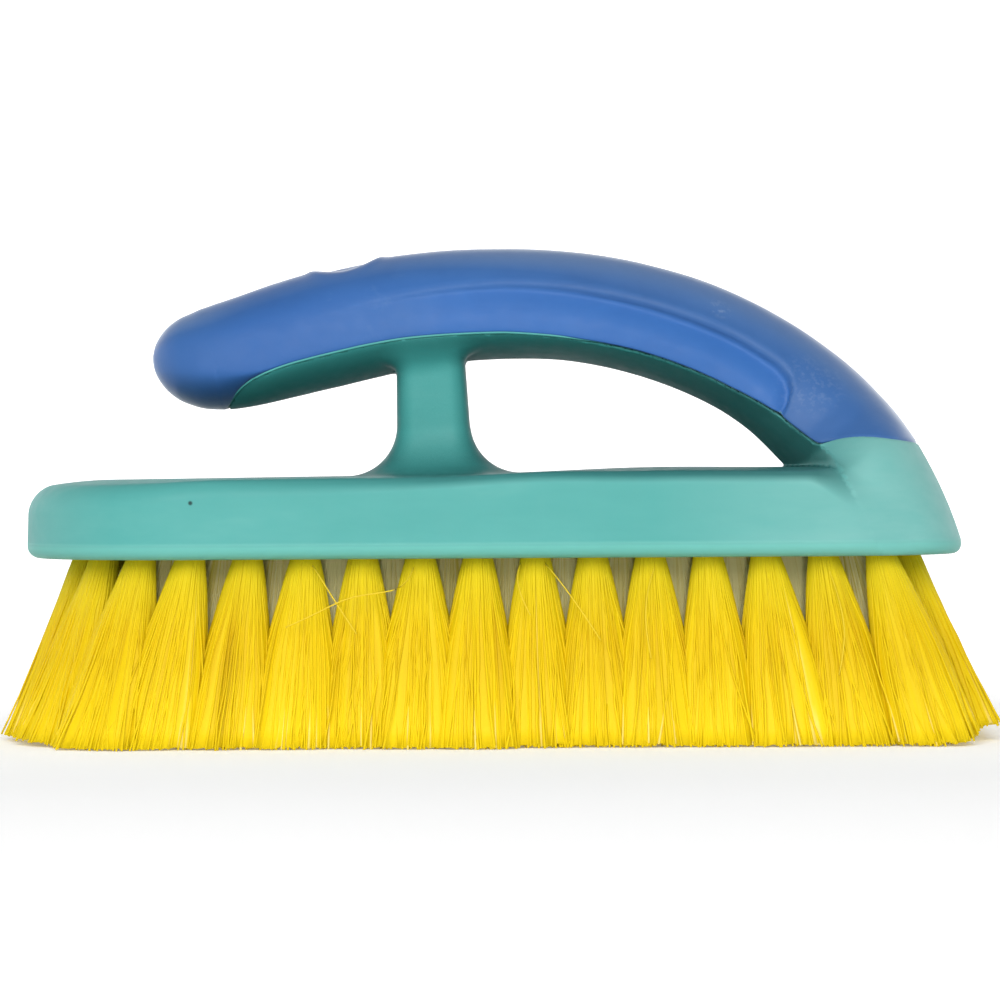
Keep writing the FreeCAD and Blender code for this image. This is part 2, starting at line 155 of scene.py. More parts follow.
# the level where the handle is widest: near the grip's edge, but rounder at the nose
EDGE = EDGE - along([(-61.2, 0.0), (-48.2, 0.0), (-46.0, 0.09), (-40, 0.110), (24, 0.115), (40, 0.12), (48, 0.135), (51.5, 0.16),
                     (54.0, 0.15), (57.0, 0.095), (60, 0.035), (66, 0.03), (72, 0.03)], 0.6)
WIDE = along([(-61.2, -0.05), (-55, -0.16), (-50, -0.30), (-46, -0.41), (-41.6, -0.45), (-38.5, -0.445), (-36, -0.44)], 1.2)
WIDE = WIDE + (EDGE + 0.02 - WIDE) * smooth(-45, -36, C_FINE[:, 0])
UPPER = along([(-61.2, 2.0), (-50, 2.15), (0, 2.25), (50, 2.3), (58, 2.45), (64, 2.9), (72, 3.2)], 2.0)
LOWER = along([(-61.2, 2.0), (-52, 1.9), (-46, 1.55), (-38, 1.38), (8, 1.36), (26, 1.26), (45, 1.16), (60, 1.16), (72, 1.5)], 2.0)
# how far the grip's lower end lies up the handle, seen from the side
_end = natural_spline([48, 54.7, 57.2, 61.7, 65.3, 69.6, 73.1, 80], [50.1, 51.25, 51.85, 52.4, 52.2, 51.65, 51.25, 50.95])
END_Z = lambda x: _end(np.clip(x, 48, 80))

# Nearest place on the middle line for every point of a fine X-Z map.
MAP_H = 0.25
MAP_X = np.arange(-90, 94, MAP_H)
MAP_Z = np.arange(24, 96, MAP_H)
_mx, _mz = np.meshgrid(MAP_X, MAP_Z, indexing="ij")
_flat = np.stack([_mx.ravel(), _mz.ravel()], 1)
_idx = np.empty(len(_flat), int)
_cc = (C_FINE ** 2).sum(1)
for _a in range(0, len(_flat), 8000):
    _q = _flat[_a:_a + 8000]
    _idx[_a:_a + 8000] = np.argmin(_cc[None] - 2 * _q @ C_FINE.T, axis=1)
_off = _flat - C_FINE[_idx]
MAP_S = (S_FINE[_idx] + (_off * D_FINE[_idx]).sum(1)).reshape(_mx.shape)
MAP_V = ((_off * N_FINE[_idx]).sum(1)).reshape(_mx.shape)


def handle_coords(x, z):
    """Distance along the handle and height above its middle line, for points in X-Z."""
    u = np.clip((x - MAP_X[0]) / MAP_H, 0, len(MAP_X) - 1.001)
    w = np.clip((z - MAP_Z[0]) / MAP_H, 0, len(MAP_Z) - 1.001)
    i, j = u.astype(int), w.astype(int)
    fu, fw = u - i, w - j

    def read(m):
        return ((m[i, j] * (1 - fu) + m[i + 1, j] * fu) * (1 - fw) + (m[i, j + 1] * (1 - fu) + m[i + 1, j + 1] * fu) * fw)

    return read(MAP_S), read(MAP_V)


def on_line(values, s):
    return np.interp(s, S_FINE, values)


def handle_field(x, y, z):
    """Signed distance, near enough, to the outside of the handle; also s, v, and the edge level."""
    s, v = handle_coords(x, z)
    b, a = on_line(B_OF, s), on_line(A_OF, s)
    c = on_line(WIDE, s) * b
    up = v >= c
    p = np.where(up, on_line(UPPER, s), on_line(LOWER, s))
    hv = np.where(up, b - c, b + c)
    k = ((np.abs(v - c) / hv) ** p + (np.abs(y) / a) ** p) ** (1 / p)
    r = np.sqrt((v - c) ** 2 + y ** 2)
    return (1 - 1 / np.maximum(k, 1e-4)) * r, s, v, on_line(EDGE, s) * b


def join(a, b, r):
    """Union with a round fillet of radius r."""
    u, w = np.maximum(r - a, 0), np.maximum(r - b, 0)
    return np.maximum(r, np.minimum(a, b)) - np.sqrt(u * u + w * w)


def meet(a, b, r):
    """Intersection with a round edge of radius r."""
    u, w = np.maximum(r + a, 0), np.maximum(r + b, 0)
    return np.minimum(-r, np.maximum(a, b)) + np.sqrt(u * u + w * w)


# ------------------------------------------------------------------ tufts: where they stand
def lean_x(x):
    if x < -45:
        return -6.0 - 10.0 * min(1.0, (-45 - x) / 27.0)
    if x < -20:
        return -6.0 * (-20 - x) / 25.0
    if x > 45:
        return 5.0 + 12.0 * min(1.0, (x - 45) / 27.0)
    if x > 20:
        return 5.0 * (x - 20) / 25.0
    return 0.0


PITCH = 9.85
TUFTS = {
    "front_edge": [(-53.1 + PITCH * n, -22.0, lean_x(-53.1 + PITCH * n), -11.0) for n in range(13)],
    "back_edge": [(-53.1 + PITCH * n, 22.0, lean_x(-53.1 + PITCH * n), 11.0) for n in range(13)],
    "nose_arc": [(-61.7, -19.8, -11.0, -12.0), (-68.6, -13.7, -14.5, -8.0), (-72.4, -4.9, -16.0, -2.6),
                 (-72.4, 4.9, -16.0, 2.6), (-68.6, 13.7, -14.5, 8.0), (-61.7, 19.8, -11.0, 12.0)],
    "heel_edge": [(70.2, -13.3, 17.0, -7.0), (71.0, -4.4, 17.5, -2.0), (71.0, 4.4, 17.5, 2.0), (70.2, 13.3, 17.0, 7.0)],
    "front_inner": [(-58.0 + PITCH * n, -11.0, lean_x(-58.0 + PITCH * n) * 0.9, -5.0) for n in range(13)],
    "back_inner": [(-58.0 + PITCH * n, 11.0, lean_x(-58.0 + PITCH * n) * 0.9, 5.0) for n in range(13)],
    "centre_row": [(-63.0 + 10.5 * n, 0.0, lean_x(-63.0 + 10.5 * n) * 0.9, 0.0) for n in range(13)],
}
TRIM = 32.0


def tuft_axis(ax, ay):
    d = np.array([math.tan(math.radians(ax)), math.tan(math.radians(ay)), -1.0])
    return d / np.linalg.norm(d)


# ------------------------------------------------------------------ block, post and heel
top_line = natural_spline([-85, -60, -26, -5, 3.5, 16, 25, 42, 82], [45.65, 45.8, 46.1, 46.3, 46.55, 47.05, 47.35, 47.3, 47.6])


def block_field(x, y, z):
    rise = np.clip(z - 32.9, 0, 40)
    heel = 0.080 * rise ** 1.6 + y * y / 190.0
    xe = x + heel * smooth(20, 66, x)
    cx, hx, hy = (-83.5 + 80.1) / 2, (83.5 + 80.1) / 2, 30.0
    r = np.where(xe < cx, 29.9, 16.0)
    qx, qy = np.abs(xe - cx) - hx + r, np.abs(y) - hy + r
    plan = np.minimum(np.maximum(qx, qy), 0) + np.hypot(np.maximum(qx, 0), np.maximum(qy, 0)) - r
    # a faint draught on the walls, and a top that is crowned towards its rim
    plan = plan + 0.03 * np.clip(z - 33, 0, 20)
    crown = 0.45 * smooth(5, -14, x) + 1.15 * smooth(-46, -72, x) + 0.8 * smooth(6, 26, x) * smooth(74, 62, x)
    top = top_line(np.clip(x, -85, 82)) - crown * (1 - np.clip(-plan / 15.0, 0, 1)) ** 2
    return meet(plan, z - top, 2.1 + 0.9 * smooth(0, -40, x) + 1.4 * smooth(-52, -78, x) + 4.6 * smooth(52, 60, x) * smooth(76, 68, x))


def post_field(x, y, z):
    up = np.clip(z - 63.0, 0, 12)
    right = -5.2 - 0.07 * np.clip(z - 54, 0, 20)
    mid, hx = (right - 18.0) / 2, (right + 18.0) / 2
    hy = 9.0 + 0.022 * up ** 2
    r = 3.4
    qx, qy = np.abs(x - mid) - hx + r, np.abs(y) - hy + r
    d = np.minimum(np.maximum(qx, qy), 0) + np.hypot(np.maximum(qx, 0), np.maximum(qy, 0)) - r
    return np.maximum(d, np.maximum(z - 73.5, 36 - z))


def body_field(x, y, z, holes=True):
    block = block_field(x, y, z)
    hand, s, v, edge = handle_field(x, y, z)
    # under the grip the moulding is a core, set in from the outside
    q = np.minimum(v - edge, z - END_Z(x))
    inset = 1.5 * smooth(-0.10 - 0.25 * smooth(0, 20, x), 0.7, q) + 1.6 * smooth(0.8, 3.2, q) + 0.6 * smooth(8, 30, x) * smooth(60, 54, x) * smooth(-3.0, -0.6, q)
    hand = hand + inset
    hand = np.maximum(hand, -50.5 - x + 0 * y)
    post = post_field(x, y, z)
    # join the post to the block with a round foot
    foot = join(block, post, 8.8 + 0.5 * smooth(-18, -5, x))
    side = np.abs(y)
    f = join(foot, hand, np.where(x < 25, 0.7 + 4.5 * smooth(3.0, 11.0, side), (0.4 + 0.7 * smooth(5.0, 13.0, side) + 0.5 * smooth(18.0, 26.0, side)) * smooth(76, 66, x) + 0.2))
    # nothing but the core stands above the grip's edge
    f = np.where((v > edge + 0.1) & (x < 40) & (z > 58), np.maximum(f, np.where(x < 25, hand, -1e3)), f)
    f = meet(f, 32.0 + 0.10 * smooth(62, 80, x) - z, 2.2 + 0.5 * smooth(66, 78, x))
    if holes:
        f = carve_holes(x, y, z, f)
    return f


HOLE_AT, HOLE_UP = [], []
for _rows in TUFTS.values():
    for _x, _y, _ax, _ay in _rows:
        HOLE_AT.append((_x, _y, TRIM))
        HOLE_UP.append(-tuft_axis(_ax, _ay))
HOLE_AT, HOLE_UP = np.array(HOLE_AT), np.array(HOLE_UP)


def carve_holes(x, y, z, f):
    x, y, z = np.broadcast_arrays(x, y, z)
    f = np.array(np.broadcast_to(f, x.shape), float)
    low = (z < 43.5)
    for c, u in zip(HOLE_AT, HOLE_UP):
        near = low & (np.abs(x - c[0]) < 8) & (np.abs(y - c[1]) < 8)
        if not near.any():
            continue
        px, py, pz = x[near] - c[0], y[near] - c[1], z[near] - c[2]
        h = px * u[0] + py * u[1] + pz * u[2]
        rad = np.sqrt(np.maximum(px * px + py * py + pz * pz - h * h, 0))
        hole = meet(rad - 2.5, h - 10.0, 0.6)
        f[near] = meet(f[near], -hole, 0.45)
    return f


# ------------------------------------------------------------------ a mesh from a field
def field_mesh(field, lo, hi, h):
    axes = [np.arange(lo[d], hi[d] + h, h) for d in range(3)]
    nx, ny, nz = map(len, axes)
    F = np.empty((nx, ny, nz))
    for i in range(0, nx, 24):
        X, Y, Zg = np.meshgrid(axes[0][i:i + 24], axes[1], axes[2], indexing="ij")
        F[i:i + 24] = field(X, Y, Zg)
    inside = F < 0
    corner = [(i, j, k) for i in (0, 1) for j in (0, 1) for k in (0, 1)]
    cut = lambda A, o: A[o[0]:nx - 1 + o[0], o[1]:ny - 1 + o[1], o[2]:nz - 1 + o[2]]
    count = sum(cut(inside, o).astype(np.int8) for o in corner)
    live = (count > 0) & (count < 8)
    number = np.full(live.shape, -1)
    number[live] = np.arange(live.sum())
    cell = np.argwhere(live)
    total, hits = np.zeros((len(cell), 3)), np.zeros(len(cell))
    for o in corner:
        for d in range(3):
            if o[d]:
                continue
            o2 = list(o)
            o2[d] = 1
            a = F[cell[:, 0] + o[0], cell[:, 1] + o[1], cell[:, 2] + o[2]]
            b = F[cell[:, 0] + o2[0], cell[:, 1] + o2[1], cell[:, 2] + o2[2]]
            x = (a < 0) != (b < 0)
            t = np.where(x, a / np.where(x, a - b, 1), 0)
            p = cell + np.array(o)
            p = p.astype(float)
            p[:, d] += t
            total[x] += p[x]
            hits[x] += 1
    V = np.array(lo) + h * total / hits[:, None]
    quads = []
    for d in range(3):
        e, g = (d + 1) % 3, (d + 2) % 3
        sl = [slice(None)] * 3
        sl[d] = slice(0, [nx, ny, nz][d] - 1)
        a = inside[tuple(sl)]
        sl[d] = slice(1, [nx, ny, nz][d])
        b = inside[tuple(sl)]
        at = np.argwhere(a != b)
        at = at[(at[:, e] > 0) & (at[:, g] > 0) & (at[:, e] < [nx, ny, nz][e] - 1) & (at[:, g] < [nx, ny, nz][g] - 1)]
        first = a[at[:, 0], at[:, 1], at[:, 2]]
        c = []
        for de, dg in ((0, 0), (-1, 0), (-1, -1), (0, -1)):
            q = at.copy()
            q[:, e] += de
            q[:, g] += dg
            c.append(number[q[:, 0], q[:, 1], q[:, 2]])
        Q = np.stack(c, 1)
        Q[~first] = Q[~first][:, ::-1]
        quads.append(Q)
    return V, np.concatenate(quads)


def gradient(field, V, e=0.04):
    g = np.empty_like(V)
    for d in range(3):
        o = np.zeros(3)
        o[d] = e
        g[:, d] = (field(*(V + o).T) - field(*(V - o).T)) / (2 * e)
    return g


def settle(field, V, quads, h, rounds=4, pulls=2):
    """Evens out the vertices over the surface and sets each one exactly on it."""
    pairs = np.concatenate([quads[:, [0, 1]], quads[:, [1, 2]], quads[:, [2, 3]], quads[:, [3, 0]]])
    n = len(V)
    deg = np.bincount(pairs.ravel(), minlength=n)
    for r in range(rounds):
        if r:
            mean = np.stack([np.bincount(pairs[:, 0], V[pairs[:, 1], d], n) + np.bincount(pairs[:, 1], V[pairs[:, 0], d], n)
                             for d in range(3)], 1) / deg[:, None]
            V = V + 0.45 * (mean - V)
        for _ in range(pulls):
            g = gradient(field, V)
            f = field(*V.T)
            step = f[:, None] * g / np.maximum((g * g).sum(1), 0.05)[:, None]
            size = np.linalg.norm(step, axis=1)
            V = V - step * np.minimum(1, 0.6 * h / np.maximum(size, 1e-9))[:, None]
    g = gradient(field, V)
    return V, g / np.maximum(np.linalg.norm(g, axis=1), 1e-9)[:, None]


def make_object(name, V, faces, normals=None, attributes=None, uv=None):
    """A mesh object from arrays; faces may be one array of quads or a list of arrays."""
    faces = faces if isinstance(faces, list) else [faces]
    sizes = np.concatenate([np.full(len(f), f.shape[1]) for f in faces])
    loops = np.concatenate([f.ravel() for f in faces]).astype(np.int32)
    me = bpy.data.meshes.new(name)
    me.vertices.add(len(V))
    me.vertices.foreach_set("co", (np.asarray(V) * MM).astype(np.float32).ravel())
    me.loops.add(len(loops))
    me.loops.foreach_set("vertex_index", loops)
    me.polygons.add(len(sizes))
    me.polygons.foreach_set("loop_start", np.r_[0, np.cumsum(sizes)[:-1]].astype(np.int32))
    me.polygons.foreach_set("use_smooth", np.ones(len(sizes), bool))
    me.update(calc_edges=True)
    for key, val in (attributes or {}).items():
        me.attributes.new(key, "FLOAT", "POINT").data.foreach_set("value", np.asarray(val, np.float32))
    if uv is not None:
        me.uv_layers.new(name="OFBake").uv.foreach_set("vector", np.asarray(uv, np.float32)[loops].ravel() if len(uv) == len(V) else np.asarray(uv, np.float32).ravel())
    me.validate()
    if normals is not None and len(me.vertices) == len(normals):
        me.normals_split_custom_set_from_vertices(normals.astype(np.float32).tolist())
    ob = bpy.data.objects.new(name, me)
    bpy.context.scene.collection.objects.link(ob)
    return ob


# ------------------------------------------------------------------ moulding
def build_body():
    h = 0.74
    V, Q = field_mesh(body_field, (-85.3, -31.9, 30.4), (83.7, 31.9, 86.5), h)
    V, N = settle(body_field, V, Q, h)
    return V, Q, N


BV, BQ, BN = build_body()
print("moulding", len(BV), "vertices", 2 * len(BQ), "triangles")


# ------------------------------------------------------------------ soft grip
NC = 132  # faces across the grip
T_COL = np.linspace(-1, 1, NC + 1)
T_COL = np.sign(T_COL) * (1 - (1 - np.abs(T_COL)) ** 1.12)


def grip_rows(s):
    """Points of the grip's outside on sections at s: (x, y, z), the level v/b and the arc length."""
    b, a = on_line(B_OF, s), on_line(A_OF, s)
    c, e = on_line(WIDE, s) * b, np.maximum(on_line(EDGE, s) * b, -b)
    n, m = on_line(UPPER, s), on_line(LOWER, s)
    depth = np.clip((c - e) / np.maximum(b + c, 1e-6), 0, 1)
    phi0 = -np.arcsin(depth ** (m / 2))
    w = np.linspace(-1, 1, 721)
    phi = math.pi / 2 - w[None] * (math.pi / 2 - phi0)[:, None]
    sn, cs = np.sin(phi), np.cos(phi)
    pw = np.where(sn >= 0, n[:, None], m[:, None])
    hv = np.where(sn >= 0, (b - c)[:, None], (b + c)[:, None])
    v = c[:, None] + np.sign(sn) * np.abs(sn) ** (2 / pw) * hv
    y = np.sign(cs) * np.abs(cs) ** (2 / pw) * a[:, None]
    arc = np.concatenate([np.zeros((len(s), 1)), np.cumsum(np.hypot(np.diff(v, axis=1), np.diff(y, axis=1)), axis=1)], 1)
    P = np.empty((len(s), NC + 1, 3))
    lev = np.empty((len(s), NC + 1))
    C = np.stack([np.interp(s, S_FINE, C_FINE[:, d]) for d in (0, 1)], 1)
    Nn = np.stack([np.interp(s, S_FINE, N_FINE[:, d]) for d in (0, 1)], 1)
    Nn /= np.linalg.norm(Nn, axis=1)[:, None]
    for i in range(len(s)):
        at = (T_COL + 1) / 2 * arc[i, -1]
        vi, yi = np.interp(at, arc[i], v[i]), np.interp(at, arc[i], y[i])
        P[i, :, 0] = C[i, 0] + vi * Nn[i, 0]
        P[i, :, 2] = C[i, 1] + vi * Nn[i, 1]
        P[i, :, 1] = -yi  # the first column is the far edge, the last the near one
        lev[i] = vi / max(b[i], 1e-6)
    return P, lev, arc[:, -1]


def build_grip():
    s_tab = np.r_[np.linspace(0, 1, 61)[:-1] ** 2 * 9.0, np.arange(9.0, 141.0, 0.25)]
    P_tab, lev_tab, arc_tab = grip_rows(s_tab)
    # where each column runs out at the heel
    s_stop = np.empty(NC + 1)
    for j in range(NC + 1):
        g = P_tab[:, j, 2] - END_Z(P_tab[:, j, 0])
        k = np.flatnonzero((g[:-1] > 0) & (g[1:] <= 0) & (s_tab[:-1] > 110))
        k = k[0]
        s_stop[j] = s_tab[k] + (s_tab[k + 1] - s_tab[k]) * g[k] / (g[k] - g[k + 1])
    s_from, s_to = 108.0, 132.0
    rows = np.r_[np.linspace(0, 1, 31)[1:-1] ** 1.9 * 9.0, np.arange(9.0, s_to - 0.5, 0.5)]
    tail = 1 - (1 - np.linspace(0, 1, 9)) ** 1.5
    rows = np.r_[rows, rows[-1] + (s_to - rows[-1]) * tail[1:]]
    S = np.repeat(rows[:, None], NC + 1, 1)
    late = rows > s_from
    S[late] = s_from + (rows[late] - s_from)[:, None] / (s_to - s_from) * (s_stop - s_from)[None]
    P = np.empty(S.shape + (3,))
    lev = np.empty(S.shape)
    arc = np.interp(S, s_tab, arc_tab)
    for j in range(NC + 1):
        for d in range(3):
            P[:, j, d] = np.interp(S[:, j], s_tab, P_tab[:, j, d])
        lev[:, j] = np.interp(S[:, j], s_tab, lev_tab[:, j])
    open_row = np.interp(rows, S_FINE, EDGE) > -0.999

    def normals(P):
        ds, dt = np.gradient(P, axis=0), np.gradient(P, axis=1)
        shut = ~open_row
        dt[shut, 0] = dt[shut, -1] = (P[shut, 1] - P[shut, -2]) / 2
        n = np.cross(dt, ds)
        n /= np.maximum(np.linalg.norm(n, axis=2), 1e-9)[..., None]
        return n

    N = normals(P)
    out = ((P[len(rows) // 2, NC // 2] - P[len(rows) // 2].mean(0)) * N[len(rows) // 2, NC // 2]).sum()
    if out < 0:
        N = -N
    flip = out < 0
    xs = np.interp(S, S_FINE, C_FINE[:, 0])
    # distances over the surface to the side edges and to the heel end
    q_side = (1 - np.abs(T_COL))[None] * arc / 2
    q_side = np.where(open_row[:, None], q_side, 9.0)
    opening = np.clip(np.interp(S, S_FINE, EDGE) + 1.0, 0, 1)
    q_side = q_side + 6 * (1 - smooth(0.0, 0.25, opening))
    q_end = np.maximum(s_stop[None] - S, 0)
    # --- relief of the side panel: a step down below a rounded ridge, fading out towards the nose
    deep = np.interp(xs, [-35, -26, -14, 2, 20, 36, 44, 52], [0, 0.12, 0.42, 0.78, 1.08, 1.28, 1.32, 1.32])
    ridge = np.interp(xs, [-30, -13, 1.6, 17, 32, 41, 47.5, 49.5, 51, 52.2],
                      [0.20, 0.26, 0.325, 0.275, 0.262, 0.262, 0.215, 0.14, -0.02, -0.40])
    b_here = np.interp(S, S_FINE, B_OF)
    drop = (ridge - lev) * b_here  # mm below the ridge line
    wall = 0.55 + 0.45 * deep
    shut_end = smooth(52.6, 51.2, xs)
    step = smooth(0, 1, drop / wall) * shut_end * (1 - 0.90 * smooth(1.2, 6.5, drop))
    bead = np.exp(-((drop + 0.75) / 0.95) ** 2) * deep * 0.18 * smooth(53.5, 50.5, xs)
    swell = 0.12 * smooth(0.4, 3.4, drop) * smooth(0, 1.2, deep) * shut_end
    move = -deep * step + bead + swell
    # --- rounded lower edge and heel end
    r1 = 1.1
    t = np.clip(1 - q_side / r1, 0, 1)
    move -= 0.36 * (1 - np.sqrt(np.maximum(1 - t * t * 0.98, 0)))
    r2 = 0.7
    t = np.clip(1 - q_end / r2, 0, 1)
    move -= 0.40 * (1 - np.sqrt(np.maximum(1 - t * t * 0.98, 0)))
    # --- thumb dish on top, with a small raised rim at both ends
    px, py = P[..., 0], P[..., 1]
    on_top = smooth(0.1, 0.5, lev)
    e = np.hypot((px + 26.9) / 5.6, py / 7.6)
    move -= 0.62 * (1 - smooth(0.55, 1.0, e)) * on_top
    move += 0.24 * np.exp(-((e - 1.12) / 0.14) ** 2) * on_top * smooth(0.2, 0.9, np.abs(px + 26.9) / 5.6)
    # --- the skin is never quite true
    flat = P.reshape(-1, 3)
    wob = lattice_noise(flat / 9.0, 3) * 0.05 + lattice_noise(flat / 4.0, 5) * 0.02
    move += wob.reshape(move.shape) * smooth(0.2, 3.0, np.minimum(q_side, q_end))
    move *= smooth(0.0, 5.0, S)
    outer = P + N * move[..., None]
    thick = 0.95 + 1.55 * smooth(0.3, 2.8, np.minimum(q_side, q_end))
    first = int(np.searchsorted(rows, 10.9))
    inner = P[first:] - N[first:] * thick[first:, :, None]
    nr, nc = S.shape
    V = [outer.reshape(-1, 3), inner.reshape(-1, 3), np.array([[-61.2, 0, 67.22]]),
         inner[0].mean(0)[None]]
    o0, i0 = 0, nr * nc
    tip, cap = i0 + inner.shape[0] * nc, i0 + inner.shape[0] * nc + 1
    V = np.concatenate(V)
    quads, tris = [], []
    r, c = np.meshgrid(np.arange(nr - 1), np.arange(nc - 1), indexing="ij")
    a = (r * nc + c).ravel()
    quads.append(np.stack([a, a + 1, a + nc + 1, a + nc], 1))
    r, c = np.meshgrid(np.arange(inner.shape[0] - 1), np.arange(nc - 1), indexing="ij")
    a = (i0 + r * nc + c).ravel()
    quads.append(np.stack([a, a + nc, a + nc + 1, a + 1], 1))
    # the lip round the open edge
    for col, turn in ((0, 0), (nc - 1, 1)):
        for i in range(first, nr - 1):
            if open_row[i] or open_row[i + 1]:
                p, q = i * nc + col, (i + 1) * nc + col
                u, w = i0 + (i - first) * nc + col, i0 + (i + 1 - first) * nc + col
                quads.append(np.array([[p, q, w, u]] if not turn else [[p, u, w, q]]))
    for j in range(nc - 1):
        p, q = (nr - 1) * nc + j, (nr - 1) * nc + j + 1
        u, w = i0 + (inner.shape[0] - 1) * nc + j, i0 + (inner.shape[0] - 1) * nc + j + 1
        quads.append(np.array([[p, q, w, u]]))
    for j in range(nc - 1):
        tris.append((tip, j + 1, j))
        tris.append((cap, i0 + j, i0 + j + 1))
    quads, tris = np.concatenate(quads), np.array(tris)
    if flip:
        pass
    # join the two edge columns where the grip closes under the nose
    weld = np.arange(len(V))
    for i in range(nr):
        if not open_row[i]:
            weld[i * nc + nc - 1] = i * nc
            if i >= first:
                weld[i0 + (i - first) * nc + nc - 1] = i0 + (i - first) * nc
    quads, tris = weld[quads], weld[tris]
    used = np.unique(np.concatenate([quads.ravel(), tris.ravel()]))
    new = np.full(len(V), -1)
    new[used] = np.arange(len(used))
    quads, tris = new[quads], new[tris]
    # a quad whose edge was welded away
    same = (quads[:, 0] == quads[:, 1]) | (quads[:, 1] == quads[:, 2]) | (quads[:, 2] == quads[:, 3]) | (quads[:, 3] == quads[:, 0])
    bad = quads[same]
    quads = quads[~same]
    for qd in bad:
        k = list(dict.fromkeys(qd.tolist()))
        if len(k) == 3:
            tris = np.concatenate([tris, np.array([k])])
    # painted sheen mask: 1 keeps the deep blue (recessed panel, nose half up to 0.6), 0 gives the greyer raised blue,
    # below 0 the pale crest on top
    painted_sheen = np.maximum(smooth(0, 1, drop / wall) * shut_end * smooth(0.05, 0.6, deep), 0.6 * smooth(25, -20, xs) * (1 - 0.5 * smooth(-40, -56, xs)))
    painted_sheen = painted_sheen - smooth(0.35, 0.9, lev) * (1 - 0.45 * smooth(0, 30, xs))
    painted_sheen = np.concatenate([painted_sheen.ravel(), np.zeros(len(V) - painted_sheen.size)])
    seam = {"painted_sheen": painted_sheen[used], "near": P[:, -1], "far": P[:, 0], "near_out": N[:, -1], "far_out": N[:, 0], "open": open_row}
    return V[used], quads, tris, seam


GV, GQ, GT, SEAM = build_grip()
grip = make_object("grip_skin", GV, [GQ, GT], attributes={"painted_sheen": SEAM["painted_sheen"]})
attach(grip, "root")
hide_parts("grip")


def face_out(ob):
    """Turns every face the same way, outwards."""
    bpy.context.view_layer.objects.active = ob
    for o in bpy.context.selected_objects:
        o.select_set(False)
    ob.select_set(True)
    bpy.ops.object.mode_set(mode="EDIT")
    bpy.ops.mesh.select_all(action="SELECT")
    bpy.ops.mesh.normals_make_consistent(inside=False)
    bpy.ops.object.mode_set(mode="OBJECT")


face_out(grip)
print("grip", len(GV), "vertices")


# ------------------------------------------------------------------ bristles
def tubes(paths, radii, tone, sides=5):
    """Round filaments from paths (n, k, 3): vertices, quads, end caps, tone and place along."""
    n, k, _ = paths.shape
    tan = np.gradient(paths, axis=1)
    tan /= np.maximum(np.linalg.norm(tan, axis=2), 1e-9)[..., None]
    ref = np.where(np.abs(tan[..., 0:1]) > 0.8, np.array([0.0, 1.0, 0.0]), np.array([1.0, 0.0, 0.0]))
    e1 = np.cross(tan, ref)
    e1 /= np.linalg.norm(e1, axis=2)[..., None]
    e2 = np.cross(tan, e1)
    ang = np.arange(sides) * 2 * math.pi / sides
    ring = (np.cos(ang)[None, None, :, None] * e1[:, :, None] + np.sin(ang)[None, None, :, None] * e2[:, :, None])
    V = paths[:, :, None] + ring * radii[:, :, None, None]
    base = (np.arange(n) * k * sides)[:, None, None]
    r, c = np.arange(k - 1)[None, :, None], np.arange(sides)[None, None, :]
    a = base + r * sides + c
    b = base + r * sides + (c + 1) % sides
    quads = np.stack([a, b, b + sides, a + sides], -1).reshape(-1, 4)
    end = np.arange(sides)
    caps = np.concatenate([(np.arange(n) * k * sides)[:, None] + end[::-1][None],
                           (np.arange(n) * k * sides + (k - 1) * sides)[:, None] + end[None]])
    t = np.repeat(tone, k * sides)
    l = np.tile(np.repeat(np.linspace(0, 1, k), sides), n)
    u = np.tile(np.tile(np.arange(sides) / sides, k), n)
    return V.reshape(-1, 3), quads, caps, t, l, u


def seam_lip():
    """The moulding's thin lip along the grip's lower edge, round the panel's front end and back."""
    use = np.flatnonzero(SEAM["open"])
    path = np.concatenate([SEAM["near"][use][::-1], SEAM["far"][use]])
    out = np.concatenate([SEAM["near_out"][use][::-1], SEAM["far_out"][use]])
    keep = np.r_[True, np.linalg.norm(np.diff(path, axis=0), axis=1) > 1e-3]
    path, out = path[keep], out[keep]
    d = np.r_[0, np.cumsum(np.linalg.norm(np.diff(path, axis=0), axis=1))]
    at = np.arange(0, d[-1], 0.8)
    path, out = [np.stack([np.interp(at, d, q[:, k]) for k in range(3)], 1) for q in (path, out)]
    proud = smooth(32, 8, path[:, 0])
    path = path - (0.17 + 0.6 * (1 - proud))[:, None] * out
    for _ in range(4):
        path[1:-1] = 0.25 * path[:-2] + 0.5 * path[1:-1] + 0.25 * path[2:]
    ends = np.minimum(at, at[-1] - at)
    r = 0.06 + 0.19 * smooth(0.0, 9.0, ends) * proud
    return tubes(path[None], r[None], np.zeros(1), sides=6)[:3]


